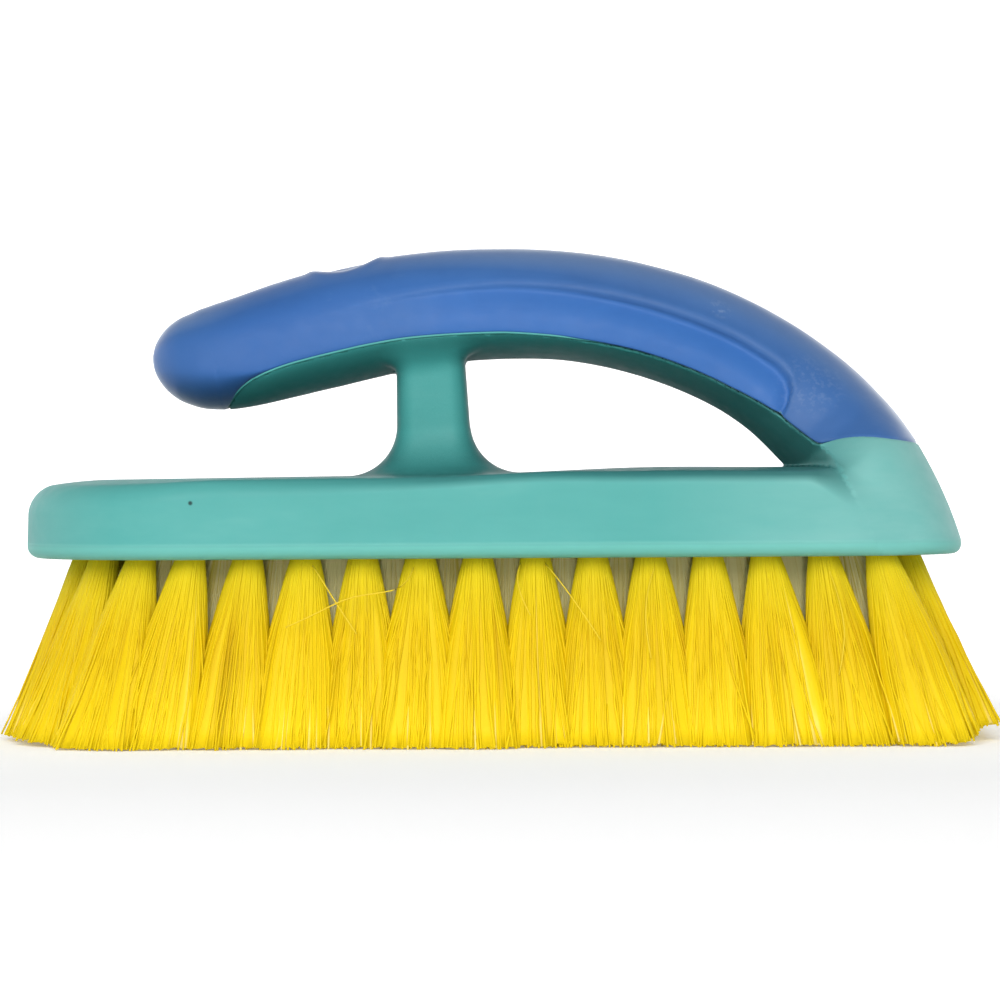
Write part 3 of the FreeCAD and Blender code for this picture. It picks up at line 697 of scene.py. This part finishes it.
class Tuft:
    """Where one tuft stands, how it fans out and how it is pressed by its neighbours."""

    def __init__(self, root, ax, ay, along_line, full, end):
        self.root = np.asarray(root, float)
        self.d = tuft_axis(ax, ay)
        self.side = along_line - (along_line @ self.d) * self.d
        self.side /= np.linalg.norm(self.side)
        self.fore = np.cross(self.d, self.side)
        self.length = TRIM / -self.d[2]
        self.full, self.end = full, end
        self.fan = 1 + rng.normal(0, 0.05)
        self.skew = rng.normal(0, 0.45, 2)
        self.lobes = [(k, rng.uniform(0, 6.28), rng.normal(0, a)) for k, a in ((2, 0.016), (3, 0.018), (5, 0.018), (7, 0.016), (11, 0.012))]

    def outline(self, ang, g):
        """Radius of the bundle in mm, at angle ang and share g of the free length."""
        if self.full:
            a = np.interp(g, [0, 0.05, 0.20, 0.36, 0.60, 1.0], [2.38, 3.5, 4.6, 5.2, 6.1, 6.8])
        else:
            a = np.interp(g, [0, 0.06, 0.20, 0.36, 0.60, 1.0], [2.38, 2.95, 3.95, 4.95, 6.1, 7.2])
        if self.end:
            b = np.interp(g, [0, 0.06, 0.30, 0.55, 0.80, 1.0], [2.38, 2.65, 3.15, 3.65, 4.55, 5.45])
        else:
            b = np.interp(g, [0, 0.06, 0.30, 0.60, 1.0], [2.38, 2.75, 3.60, 4.70, 5.80])
        a, b = 2.38 + (a - 2.38) * self.fan, 2.38 + (b - 2.38) * self.fan
        n = 2 + 2.2 * smooth(0.12, 0.60, g)
        r = (np.abs(np.cos(ang) / a) ** n + np.abs(np.sin(ang) / b) ** n) ** (-1 / n)
        lump = sum(w * np.cos(k * ang + f + 0.5 * g * k / 3) for k, f, w in self.lobes) * smooth(0.0, 0.5, g)
        return r * (1 + lump)

    def at(self, h, ang, rad):
        """Points at depth h below the root, at an angle and radius across the tuft."""
        g = np.maximum(h, 0) / self.length
        x = np.cos(ang) * rad + self.skew[0] * g * g
        y = np.sin(ang) * rad + self.skew[1] * g * g
        return self.root + self.d * h[..., None] + self.side * x[..., None] + self.fore * y[..., None]

    def trim(self, P, z):
        """Moves the last point of each path along the path to its own height."""
        last, prev = P[:, -1].copy(), P[:, -2]
        z = z + np.interp(last[:, 0], [-88, -83, -78, -73, 74, 78, 80, 82, 84, 87], [0.95, 0.80, 0.50, 0.0, 0.0, 0.5, 1.1, 2.1, 2.8, 2.3])
        w = (z - prev[:, 2]) / np.minimum(last[:, 2] - prev[:, 2], -0.2)
        P[:, -1] = prev + (last - prev) * w[:, None]
        return P


def tuft_mass(t, around=60, steps=14):
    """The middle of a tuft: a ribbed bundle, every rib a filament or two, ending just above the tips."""
    ang = (np.arange(around) * 2 * math.pi / around)[:, None]
    h = np.linspace(-3.5, t.length, steps)[None]
    g = np.maximum(h, 0) / t.length
    rib0, rib1 = rng.normal(0, 1, (around, 1)), rng.normal(0, 1, (around, 1))
    rad = t.outline(ang, g) * (1 + (0.012 + 0.010 * g) * (rib0 * (1 - g) + rib1 * g)) * 0.983
    P = t.at(h + 0 * ang, ang + 0 * h, rad)
    P = t.trim(P, 0.18 + np.abs(rng.normal(0, 0.28, around)))
    V = np.concatenate([P.reshape(-1, 3), P[:, 0].mean(0)[None], P[:, -1].mean(0)[None] + np.array([[0, 0, 0.3]])])
    i, k = np.meshgrid(np.arange(around), np.arange(steps - 1), indexing="ij")
    j = (i + 1) % around
    quads = np.stack([i * steps + k, i * steps + k + 1, j * steps + k + 1, j * steps + k], -1).reshape(-1, 4)
    i = np.arange(around)
    j = (i + 1) % around
    top, low = around * steps, around * steps + 1
    tris = np.concatenate([np.stack([np.full(around, top), i * steps, j * steps], 1),
                           np.stack([np.full(around, low), j * steps + steps - 1, i * steps + steps - 1], 1)])
    tone = np.clip(rng.normal(0.45, 0.10, around), 0.02, 0.98)
    tone = np.r_[np.repeat(tone, steps), 0.45, 0.45]
    place = np.r_[np.tile(np.linspace(0, 0.95, steps), around), 0.0, 0.9]
    return V, quads, tris, tone, place


def tuft_outside(t, count, steps=12):
    """Single filaments lying over the bundle; some cross their neighbours, a few stand off."""
    ang0 = (np.arange(count) + rng.uniform(0, 1, count)) * 2 * math.pi / count
    drift = rng.normal(0, 0.12, count) + (rng.random(count) < 0.20) * rng.normal(0, 0.45, count)
    lift = np.abs(rng.normal(0, 0.018, count)) + (rng.random(count) < 0.14) * rng.uniform(0.03, 0.17, count)
    wave = np.abs(rng.normal(0, 0.12, count))
    turns, ph = rng.uniform(10, 24, count), rng.uniform(0, 6.28, count)
    h = np.linspace(-3.5, t.length, steps)[None]
    g = np.maximum(h, 0) / t.length
    ang = ang0[:, None] + drift[:, None] * g ** 1.3
    rad = t.outline(ang, g) * (0.975 + lift[:, None] * g ** 1.5)
    ang = ang + (wave[:, None] * np.sin(g * turns[:, None] + ph[:, None]) * np.minimum(1, 3 * g)) / rad
    P = t.at(h + 0 * ang, ang, rad)
    return t.trim(P, tip_heights(count))


def tuft_ends(t, count, steps=4):
    """Tips of the filaments inside the bundle, where they come out of it at the bottom."""
    i = np.arange(count) + 0.5
    rho, ang = 0.93 * np.sqrt(i / count), i * 2.399963 + rng.uniform(0, 6.28)
    h = np.linspace(t.length * 0.80, t.length, steps)[None]
    g = h / t.length
    rad = t.outline(ang[:, None], g) * np.clip(rho + rng.normal(0, 0.03, count), 0, 0.95)[:, None]
    P = t.at(h + 0 * rad, ang[:, None] + rng.normal(0, 0.06, count)[:, None] * (g - 0.8) * 5, rad)
    return t.trim(P, tip_heights(count))


def tip_heights(count):
    return np.clip(rng.normal(0.30, 0.28, count), 0.02, 3) + (rng.random(count) < 0.06) * rng.uniform(0.2, 1.4, count)


def build_line(line, roots, strays):
    """Every tuft of one line as one mesh: vertices, faces, tone and place along the filament."""
    parts = []
    # painted light: the inner and centre rows, shaded by the front rows and the block, are lifted to the pale khaki end
    # of the tone ramp
    pale = 0.50 if "inner" in line or "centre" in line else 0.0

    def add(V, faces, tone, place):
        parts.append((V, faces, np.clip(tone, 0.02, 0.98), place))

    def add_tubes(P, r, tone, start):
        V, Q, caps, tn, l, _ = tubes(P, np.repeat(r[:, None], P.shape[1], 1), tone)
        add(V, [Q, caps], tn, start + (1 - start) * l)

    for x, y, ax, ay in roots:
        way = np.array([1.0, 0.0, 0.0])
        if line == "nose_arc":
            way = np.array([-y, x + 53.6, 0.0]) / math.hypot(y, x + 53.6)
        elif line == "heel_edge":
            way = np.array([0.0, 1.0, 0.0])
        t = Tuft((x, y, TRIM), ax + rng.normal(0, 0.7), ay + rng.normal(0, 0.7), way, pale > 0, line in ("nose_arc", "heel_edge"))
        off = rng.normal(0, 0.05)
        V, quads, tris, tone, place = tuft_mass(t)
        add(V, [quads, tris], tone + pale + off, place)
        for P, start in ((tuft_outside(t, 84), 0.0), (tuft_ends(t, 100), 0.82)):
            n = len(P)
            tone = rng.normal(0.45, 0.05 if pale else 0.13, n) + off + pale
            if not pale:
                tone = np.where(rng.random(n) < 0.045, 0.61, np.minimum(tone, 0.575))
            add_tubes(P, 0.185 + rng.normal(0, 0.012, n), tone, start)
    for pts in strays:
        V, Q, caps, tn, l, _ = tubes(stray(pts, 14), np.full((1, 14), 0.12), np.array([0.64]))
        add(V, [Q, caps], tn, 0.35 + 0.25 * l)
    V, tone, place = [np.concatenate([q[k] for q in parts]) for k in (0, 2, 3)]
    base = np.r_[0, np.cumsum([len(q[0]) for q in parts])[:-1]]
    by_size = {}
    for b, q in zip(base, parts):
        for f in q[1]:
            by_size.setdefault(f.shape[1], []).append(f + b)
    return V, [np.concatenate(f) for f in by_size.values()], tone, place


def stray(points, steps=9):
    """A loose filament bent out of its tuft, through the given points."""
    pts = np.array(points, float)
    t = np.r_[0, np.cumsum(np.linalg.norm(np.diff(pts, axis=0), axis=1))]
    return natural_spline(t, pts)(np.linspace(0, t[-1], steps))[None]


STRAYS = {
    "front_edge": [
        [(-14.6, -24.2, 31.0), (-17.3, -29.4, 27.1), (-25.1, -30.6, 25.6), (-30.5, -30.9, 23.3), (-36.4, -31.2, 20.6)],
        [(-32.2, -24.2, 31.0), (-30.6, -28.4, 28.9), (-28.3, -30.2, 25.3), (-24.4, -31.2, 19.4)],
        [(3.4, -24.2, 31.0), (2.9, -27.6, 28.6), (3.4, -29.6, 26.0), (5.0, -30.6, 22.4)],
        [(7.6, -24.2, 31.0), (9.8, -28.6, 28.4), (13.0, -30.4, 24.0), (16.9, -31.2, 18.1)],
        [(26.6, -24.4, 31.0), (25.0, -28.0, 26.0), (24.6, -30.0, 21.0), (25.4, -31.0, 15.0)],
        [(55.6, -24.4, 31.0), (57.4, -28.0, 25.0), (58.2, -30.2, 19.0), (57.2, -31.2, 12.0)],
    ],
}

LV, LQ, LC = seam_lip()
LN = np.zeros_like(LV)  # zero: the lip keeps its own smooth normals
body = make_object("moulding", np.concatenate([BV, LV]), [np.concatenate([BQ, LQ + len(BV)]), LC + len(BV)],
                   np.concatenate([BN, LN]))
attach(body, "root")
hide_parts("block_handle")

BRISTLES = []
for line_name, roots in TUFTS.items():
    V, faces, tone, place = build_line(line_name, roots, STRAYS.get(line_name, []))
    V[:, 2] = np.maximum(V[:, 2], 0.0)
    uv = np.stack([0.01 + 0.98 * tone, 0.01 + 0.98 * place], 1)
    ob = make_object(line_name + "_filaments", V, faces, attributes={"tone": tone, "place": place}, uv=uv)
    face_out(ob)
    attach(ob, "root")
    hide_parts(line_name + "_tufts")
    BRISTLES.append(ob)
print("filaments", sum(len(o.data.polygons) for o in BRISTLES), "faces")


# ------------------------------------------------------------------ materials
def nodes_of(name):
    mat = bpy.data.materials.new(name)
    mat.use_nodes = True
    nt = mat.node_tree
    return mat, nt, nt.nodes["Principled BSDF"]


def node(nt, kind, **kw):
    n = nt.nodes.new(kind)
    for k, v in kw.items():
        if k in n.inputs:
            n.inputs[k].default_value = v
        else:
            setattr(n, k, v)
    return n


def noise(nt, vec, scale, detail=3.0, rough=0.55):
    n = node(nt, "ShaderNodeTexNoise", Scale=scale, Detail=detail, Roughness=rough)
    nt.links.new(vec, n.inputs["Vector"])
    return n.outputs["Fac"]


def ramp(nt, fac, stops):
    n = nt.nodes.new("ShaderNodeValToRGB")
    el = n.color_ramp.elements
    while len(el) < len(stops):
        el.new(0.5)
    for e, (p, c) in zip(el, stops):
        e.position = p
        e.color = (*c, 1.0) if len(c) == 3 else c
    nt.links.new(fac, n.inputs["Fac"])
    return n.outputs["Color"]


def remap(nt, val, a, b, c, d):
    n = node(nt, "ShaderNodeMapRange")
    n.inputs["From Min"].default_value, n.inputs["From Max"].default_value = a, b
    n.inputs["To Min"].default_value, n.inputs["To Max"].default_value = c, d
    nt.links.new(val, n.inputs["Value"])
    return n.outputs["Result"]


def mix(nt, fac, a, b):
    n = nt.nodes.new("ShaderNodeMix")
    n.data_type = "RGBA"
    if isinstance(fac, float):
        n.inputs[0].default_value = fac
    else:
        nt.links.new(fac, n.inputs[0])
    for k, v in ((6, a), (7, b)):
        if isinstance(v, tuple):
            n.inputs[k].default_value = (*v, 1.0)
        else:
            nt.links.new(v, n.inputs[k])
    return n.outputs[2]


def math_node(nt, op, a, b=None):
    n = nt.nodes.new("ShaderNodeMath")
    n.operation = op
    for k, v in ((0, a), (1, b)):
        if v is None:
            continue
        if isinstance(v, (int, float)):
            n.inputs[k].default_value = v
        else:
            nt.links.new(v, n.inputs[k])
    return n.outputs[0]


def bump(nt, height, strength, distance, prior=None):
    n = node(nt, "ShaderNodeBump", Strength=strength, Distance=distance)
    nt.links.new(height, n.inputs["Height"])
    if prior is not None:
        nt.links.new(prior, n.inputs["Normal"])
    return n.outputs["Normal"]


def object_coords(nt):
    return nt.nodes.new("ShaderNodeTexCoord").outputs["Object"]


def axis_of(nt, vec, axis):
    n = nt.nodes.new("ShaderNodeSeparateXYZ")
    nt.links.new(vec, n.inputs[0])
    return n.outputs[axis]


def turquoise():
    mat, nt, bs = nodes_of("turquoise_polypropylene")
    co = object_coords(nt)
    stretch = nt.nodes.new("ShaderNodeMapping")
    stretch.inputs["Scale"].default_value = (0.45, 1.0, 1.6)
    nt.links.new(co, stretch.inputs["Vector"])
    flow = noise(nt, stretch.outputs["Vector"], 60, 4, 0.6)
    base = ramp(nt, flow, [(0.30, (0.066, 0.300, 0.280)), (0.55, (0.075, 0.318, 0.297)), (0.78, (0.098, 0.345, 0.322))])
    # paler, greyer teal over the heel and, more faintly, the nose end: mottled flow marks where the melt met, and
    # painted reflection of the bright surroundings on these rounded ends
    heel = remap(nt, axis_of(nt, co, 0), 0.026, 0.068, 0.0, 1.0)
    heel = math_node(nt, "MAXIMUM", heel, remap(nt, axis_of(nt, co, 0), -0.066, -0.083, 0.0, 0.45))
    marks = remap(nt, noise(nt, stretch.outputs["Vector"], 90, 4, 0.6), 0.38, 0.70, 0.60, 1.0)
    base = mix(nt, math_node(nt, "MULTIPLY", heel, marks), base, (0.174, 0.404, 0.378))
    # the mould's parting line, a little above the bottom edge
    z = axis_of(nt, co, 2)
    part = math_node(nt, "ABSOLUTE", math_node(nt, "SUBTRACT", z, 0.03445))
    part = remap(nt, part, 0.0, 0.00032, 1.0, 0.0)
    # painted light: the wall below the parting line is painted paler, for the floor light its bottom rounding catches
    low = remap(nt, z, 0.0340, 0.0350, 0.7, 0.0)
    base = mix(nt, low, base, (0.130, 0.415, 0.368))
    # painted highlight: a thin pale line along the parting line, on top of the bump that raises it
    base = mix(nt, math_node(nt, "MULTIPLY", part, 0.22), base, (0.145, 0.375, 0.345))
    # one dark speck moulded into the front wall
    far = nt.nodes.new("ShaderNodeVectorMath")
    far.operation = "DISTANCE"
    far.inputs[1].default_value = (-0.0525, -0.0297, 0.0417)
    nt.links.new(co, far.inputs[0])
    base = mix(nt, remap(nt, far.outputs["Value"], 0.00022, 0.00048, 0.95, 0.0), base, (0.012, 0.035, 0.035))
    # painted shade: darker, deeper teal where the moulding's own ambient occlusion is strong, as under the handle and
    # in the holes
    painted_ao_shade = nt.nodes.new("ShaderNodeAmbientOcclusion")
    painted_ao_shade.only_local = True
    painted_ao_shade.samples = 8
    painted_ao_shade.inputs["Distance"].default_value = 0.045
    base = mix(nt, remap(nt, painted_ao_shade.outputs["AO"], 0.55, 0.95, 0.65, 0.0), base, (0.025, 0.290, 0.275))
    base = mix(nt, remap(nt, painted_ao_shade.outputs["AO"], 0.30, 0.78, 0.66, 0.0), base, (0.018, 0.070, 0.070))
    # painted shade: upward faces on the block's top under the arch, and upward faces the ambient occlusion finds
    # sheltered, are darkened as if in the arch's shadow
    painted_arch_shade = remap(nt, axis_of(nt, nt.nodes.new("ShaderNodeNewGeometry").outputs["Normal"], 2), 0.15, 0.70, 0.0, 1.0)
    under = math_node(nt, "ADD", remap(nt, axis_of(nt, co, 0), -0.050, -0.008, 0.0, 0.60), remap(nt, axis_of(nt, co, 0), 0.0, 0.030, 0.0, 0.20))
    under = math_node(nt, "MINIMUM", under, remap(nt, axis_of(nt, co, 0), 0.054, 0.064, 0.80, 0.0))
    under = math_node(nt, "MULTIPLY", under, remap(nt, z, 0.0474, 0.0496, 1.0, 0.0))
    painted_arch_shade = math_node(nt, "MULTIPLY", painted_arch_shade, math_node(nt, "MAXIMUM", under, remap(nt, painted_ao_shade.outputs["AO"], 0.50, 0.95, 1.0, 0.0)))
    base = mix(nt, painted_arch_shade, base, (0.016, 0.105, 0.104))
    nt.links.new(base, bs.inputs["Base Color"])
    nt.links.new(remap(nt, noise(nt, co, 420, 3, 0.5), 0.3, 0.7, 0.46, 0.56), bs.inputs["Roughness"])
    n1 = bump(nt, noise(nt, co, 900, 3, 0.5), 0.06, 0.0002)
    n2 = bump(nt, part, 0.35, 0.00012, n1)
    nt.links.new(n2, bs.inputs["Normal"])
    bs.inputs["IOR"].default_value = 1.49
    bs.inputs["Specular IOR Level"].default_value = 0.20
    return mat


def blue_grip():
    mat, nt, bs = nodes_of("blue_elastomer")
    co = object_coords(nt)
    cloud = noise(nt, co, 55, 4, 0.6)
    base = ramp(nt, cloud, [(0.30, (0.026, 0.094, 0.268)), (0.55, (0.030, 0.104, 0.290)), (0.80, (0.038, 0.118, 0.312))])
    # painted sheen: the raised skin is painted a greyer blue, while the recessed panel and, by up to 0.6, the nose half
    # keep the deeper blue
    painted_sheen = node(nt, "ShaderNodeAttribute", attribute_name="painted_sheen").outputs["Fac"]
    deep = ramp(nt, cloud, [(0.30, (0.019, 0.104, 0.342)), (0.55, (0.022, 0.115, 0.366)), (0.80, (0.030, 0.128, 0.386))])
    base = mix(nt, remap(nt, painted_sheen, 0.0, 1.0, 0.10, 1.0), base, deep)
    # painted sheen along the crest on top: a pale grey-blue
    base = mix(nt, remap(nt, painted_sheen, -1.0, 0.0, 1.0, 0.0), base, (0.109, 0.184, 0.330))
    # a deeper, darker blue over the nose half of the arch, x from -57 to -12 mm
    left = math_node(nt, "MINIMUM", remap(nt, axis_of(nt, co, 0), -0.012, -0.030, 0.0, 0.26), remap(nt, axis_of(nt, co, 0), -0.057, -0.044, 0.0, 0.26))
    base = mix(nt, left, base, (0.002, 0.066, 0.275))
    # pale rubbed places
    rub = remap(nt, noise(nt, co, 160, 5, 0.7), 0.58, 0.80, 0.0, 0.28)
    where = remap(nt, noise(nt, co, 26, 2, 0.5), 0.50, 0.68, 0.0, 1.0)
    base = mix(nt, math_node(nt, "MULTIPLY", rub, where), base, (0.12, 0.22, 0.40))
    # small scuffs high on the shoulder and along the rear of the arch
    for at, reach, much in (((0.0384, -0.010, 0.0747), 0.0026, 0.30), ((0.0540, -0.0135, 0.0610), 0.0075, 0.16)):
        far = nt.nodes.new("ShaderNodeVectorMath")
        far.operation = "DISTANCE"
        far.inputs[1].default_value = at
        nt.links.new(co, far.inputs[0])
        spot = remap(nt, far.outputs["Value"], 0.3 * reach, reach, much, 0.0)
        grain = remap(nt, noise(nt, co, 1100, 4, 0.65), 0.50, 0.66, 0.0, 1.0)
        base = mix(nt, math_node(nt, "MULTIPLY", spot, grain), base, (0.26, 0.34, 0.47))
    # painted shade: faces that point down are darkened towards navy
    down = remap(nt, axis_of(nt, nt.nodes.new("ShaderNodeNewGeometry").outputs["Normal"], 2), -0.30, -0.90, 0.0, 0.65)
    base = mix(nt, down, base, (0.008, 0.028, 0.080))
    nt.links.new(base, bs.inputs["Base Color"])
    nt.links.new(remap(nt, noise(nt, co, 300, 4, 0.6), 0.3, 0.7, 0.50, 0.62), bs.inputs["Roughness"])
    nt.links.new(bump(nt, noise(nt, co, 1500, 3, 0.6), 0.10, 0.0002), bs.inputs["Normal"])
    bs.inputs["IOR"].default_value = 1.5
    bs.inputs["Specular IOR Level"].default_value = 0.36
    bs.inputs["Sheen Weight"].default_value = 0.8
    bs.inputs["Sheen Roughness"].default_value = 0.28
    bs.inputs["Sheen Tint"].default_value = (0.9, 0.92, 0.95, 1)
    return mat


def yellow_filament():
    mat, nt, bs = nodes_of("yellow_filament")
    tone = node(nt, "ShaderNodeAttribute", attribute_name="tone").outputs["Fac"]
    place = node(nt, "ShaderNodeAttribute", attribute_name="place").outputs["Fac"]
    # tone ramp; its top stop is the pale khaki painted onto the shaded inner and centre rows
    base = ramp(nt, tone, [(0.0, (0.53, 0.33, 0.001)), (0.35, (0.605, 0.41, 0.002)), (0.62, (0.67, 0.475, 0.003)), (0.97, (0.96, 0.88, 0.46))])
    # greener towards the root
    root = math_node(nt, "MULTIPLY", remap(nt, place, 0.10, 0.48, 0.75, 0.0), remap(nt, tone, 0.65, 0.85, 1.0, 0.2))
    base = mix(nt, root, base, (0.60, 0.50, 0.012))
    # painted light: paler and brighter towards the tips, for the floor light the lower bristles catch
    tip = remap(nt, place, 0.60, 1.0, 0.0, 0.55)
    base = mix(nt, tip, base, (0.86, 0.655, 0.008))
    # pale ends on the few filaments whose tone is near 0.61
    pale_ends = math_node(nt, "MULTIPLY", remap(nt, place, 0.80, 0.98, 0.0, 0.55), remap(nt, tone, 0.585, 0.61, 0.0, 1.0))
    base = mix(nt, pale_ends, base, (0.92, 0.76, 0.30))
    nt.links.new(base, bs.inputs["Base Color"])
    nt.links.new(remap(nt, tone, 0.0, 1.0, 0.50, 0.42), bs.inputs["Roughness"])
    bs.inputs["IOR"].default_value = 1.5
    bs.inputs["Specular IOR Level"].default_value = 0.10
    return mat


def anchor_wire():
    mat, nt, bs = nodes_of("galvanised_wire")
    co = object_coords(nt)
    spangle = noise(nt, co, 900, 4, 0.6)
    nt.links.new(ramp(nt, spangle, [(0.3, (0.42, 0.43, 0.44)), (0.7, (0.60, 0.61, 0.62))]), bs.inputs["Base Color"])
    nt.links.new(remap(nt, spangle, 0.3, 0.7, 0.32, 0.5), bs.inputs["Roughness"])
    bs.inputs["Metallic"].default_value = 1.0
    return mat


def wear(ob, mat):
    ob.data.materials.clear()
    ob.data.materials.append(mat)


wear(body, turquoise())
wear(grip, blue_grip())
yellow = yellow_filament()
for ob in BRISTLES:
    wear(ob, yellow)
steel = anchor_wire()
for o in bpy.data.objects:
    if o.type == "MESH" and o.name.endswith("_anchors"):
        for sl in o.material_slots:
            sl.material = steel


# ------------------------------------------------------------------ stage, light, camera
def stage_floor():
    """A pale round sweep: a flat floor that curves up into a low wall all round."""
    prof = [(0.02, 0.0), (0.6, 0.0), (1.4, 0.0)] + [(1.5 + 0.6 * math.sin(t), 0.6 - 0.6 * math.cos(t)) for t in np.linspace(0, math.pi / 2, 21)] + [(2.1, 1.1)]
    turns = 96
    ang = np.arange(turns) * 2 * math.pi / turns
    V = np.array([(r * math.cos(a) * 1000, r * math.sin(a) * 1000, z * 1000) for r, z in prof for a in ang])
    Q = np.array([[i * turns + j, i * turns + (j + 1) % turns, (i + 1) * turns + (j + 1) % turns, (i + 1) * turns + j]
                  for i in range(len(prof) - 1) for j in range(turns)])
    hub = np.arange(turns)[None]
    ob = make_object("studio_sweep", V, [Q, hub])
    mat, nt, bs = nodes_of("studio_white")
    bs.inputs["Base Color"].default_value = (0.93, 0.93, 0.93, 1)
    bs.inputs["Roughness"].default_value = 0.9
    bs.inputs["Specular IOR Level"].default_value = 0.0
    bs.inputs["Emission Color"].default_value = (1, 1, 1, 1)
    # painted glow: the sweep gives light of its own, all up the wall above its foot (fading towards the front) and on
    # the floor, faint in front and stronger behind the brush
    co = object_coords(nt)
    wall = remap(nt, axis_of(nt, co, 2), 0.0, 0.25, 0.0, 0.85)
    wall = math_node(nt, "MULTIPLY", wall, remap(nt, axis_of(nt, co, 1), -0.8, 0.4, 0.03, 1.0))
    floor = remap(nt, axis_of(nt, co, 1), -0.10, 0.30, 0.07, 0.50)
    nt.links.new(math_node(nt, "MAXIMUM", wall, floor), bs.inputs["Emission Strength"])
    wear(ob, mat)
    return ob


stage_floor()


def area_light(name, at, to, size, power, spread=180.0, colour=(1, 1, 1)):
    li = bpy.data.lights.new(name, "AREA")
    li.spread = math.radians(spread)
    li.shape = "RECTANGLE"
    li.size, li.size_y = size
    li.energy = power
    li.color = colour
    ob = bpy.data.objects.new(name, li)
    bpy.context.scene.collection.objects.link(ob)
    ob.location = at
    ob.rotation_euler = (Vector(to) - Vector(at)).to_track_quat("-Z", "Y").to_euler()
    return ob


area_light("key_front", (-0.12, -1.18, 0.66), (0, 0, 0.05), (1.2, 0.85), 16.2)
area_light("fill_low", (0, -0.75, 0.018), (0, 0, 0.016), (0.15, 0.02), 0.0046, 7.0)

world = bpy.data.worlds.new("studio")
world.use_nodes = True
bg = world.node_tree.nodes["Background"]
bg.inputs["Color"].default_value = (1, 1, 1, 1)
bg.inputs["Strength"].default_value = 0.33
bpy.context.scene.world = world
bpy.context.scene.view_settings.view_transform = "Standard"
bpy.context.scene.view_settings.look = "None"

cam_data = bpy.data.cameras.new("camera")
cam = bpy.data.objects.new("camera", cam_data)
bpy.context.scene.collection.objects.link(cam)
cam_data.sensor_width = 36.0
cam_data.lens = 36.0 * 700.0 / 177.0
cam_data.clip_start = 0.01
cam_data.clip_end = 20.0
pitch = math.atan(30 * 0.177 / 700.0)  # the horizon stands a little above the middle of the picture
roll = math.radians(-0.354)
cam.matrix_world = (Matrix.Translation((0, -0.7, 0.047)) @ Matrix.Rotation(math.pi / 2 - pitch, 4, "X")
                    @ Matrix.Rotation(roll, 4, "Z"))
bpy.context.scene.camera = cam
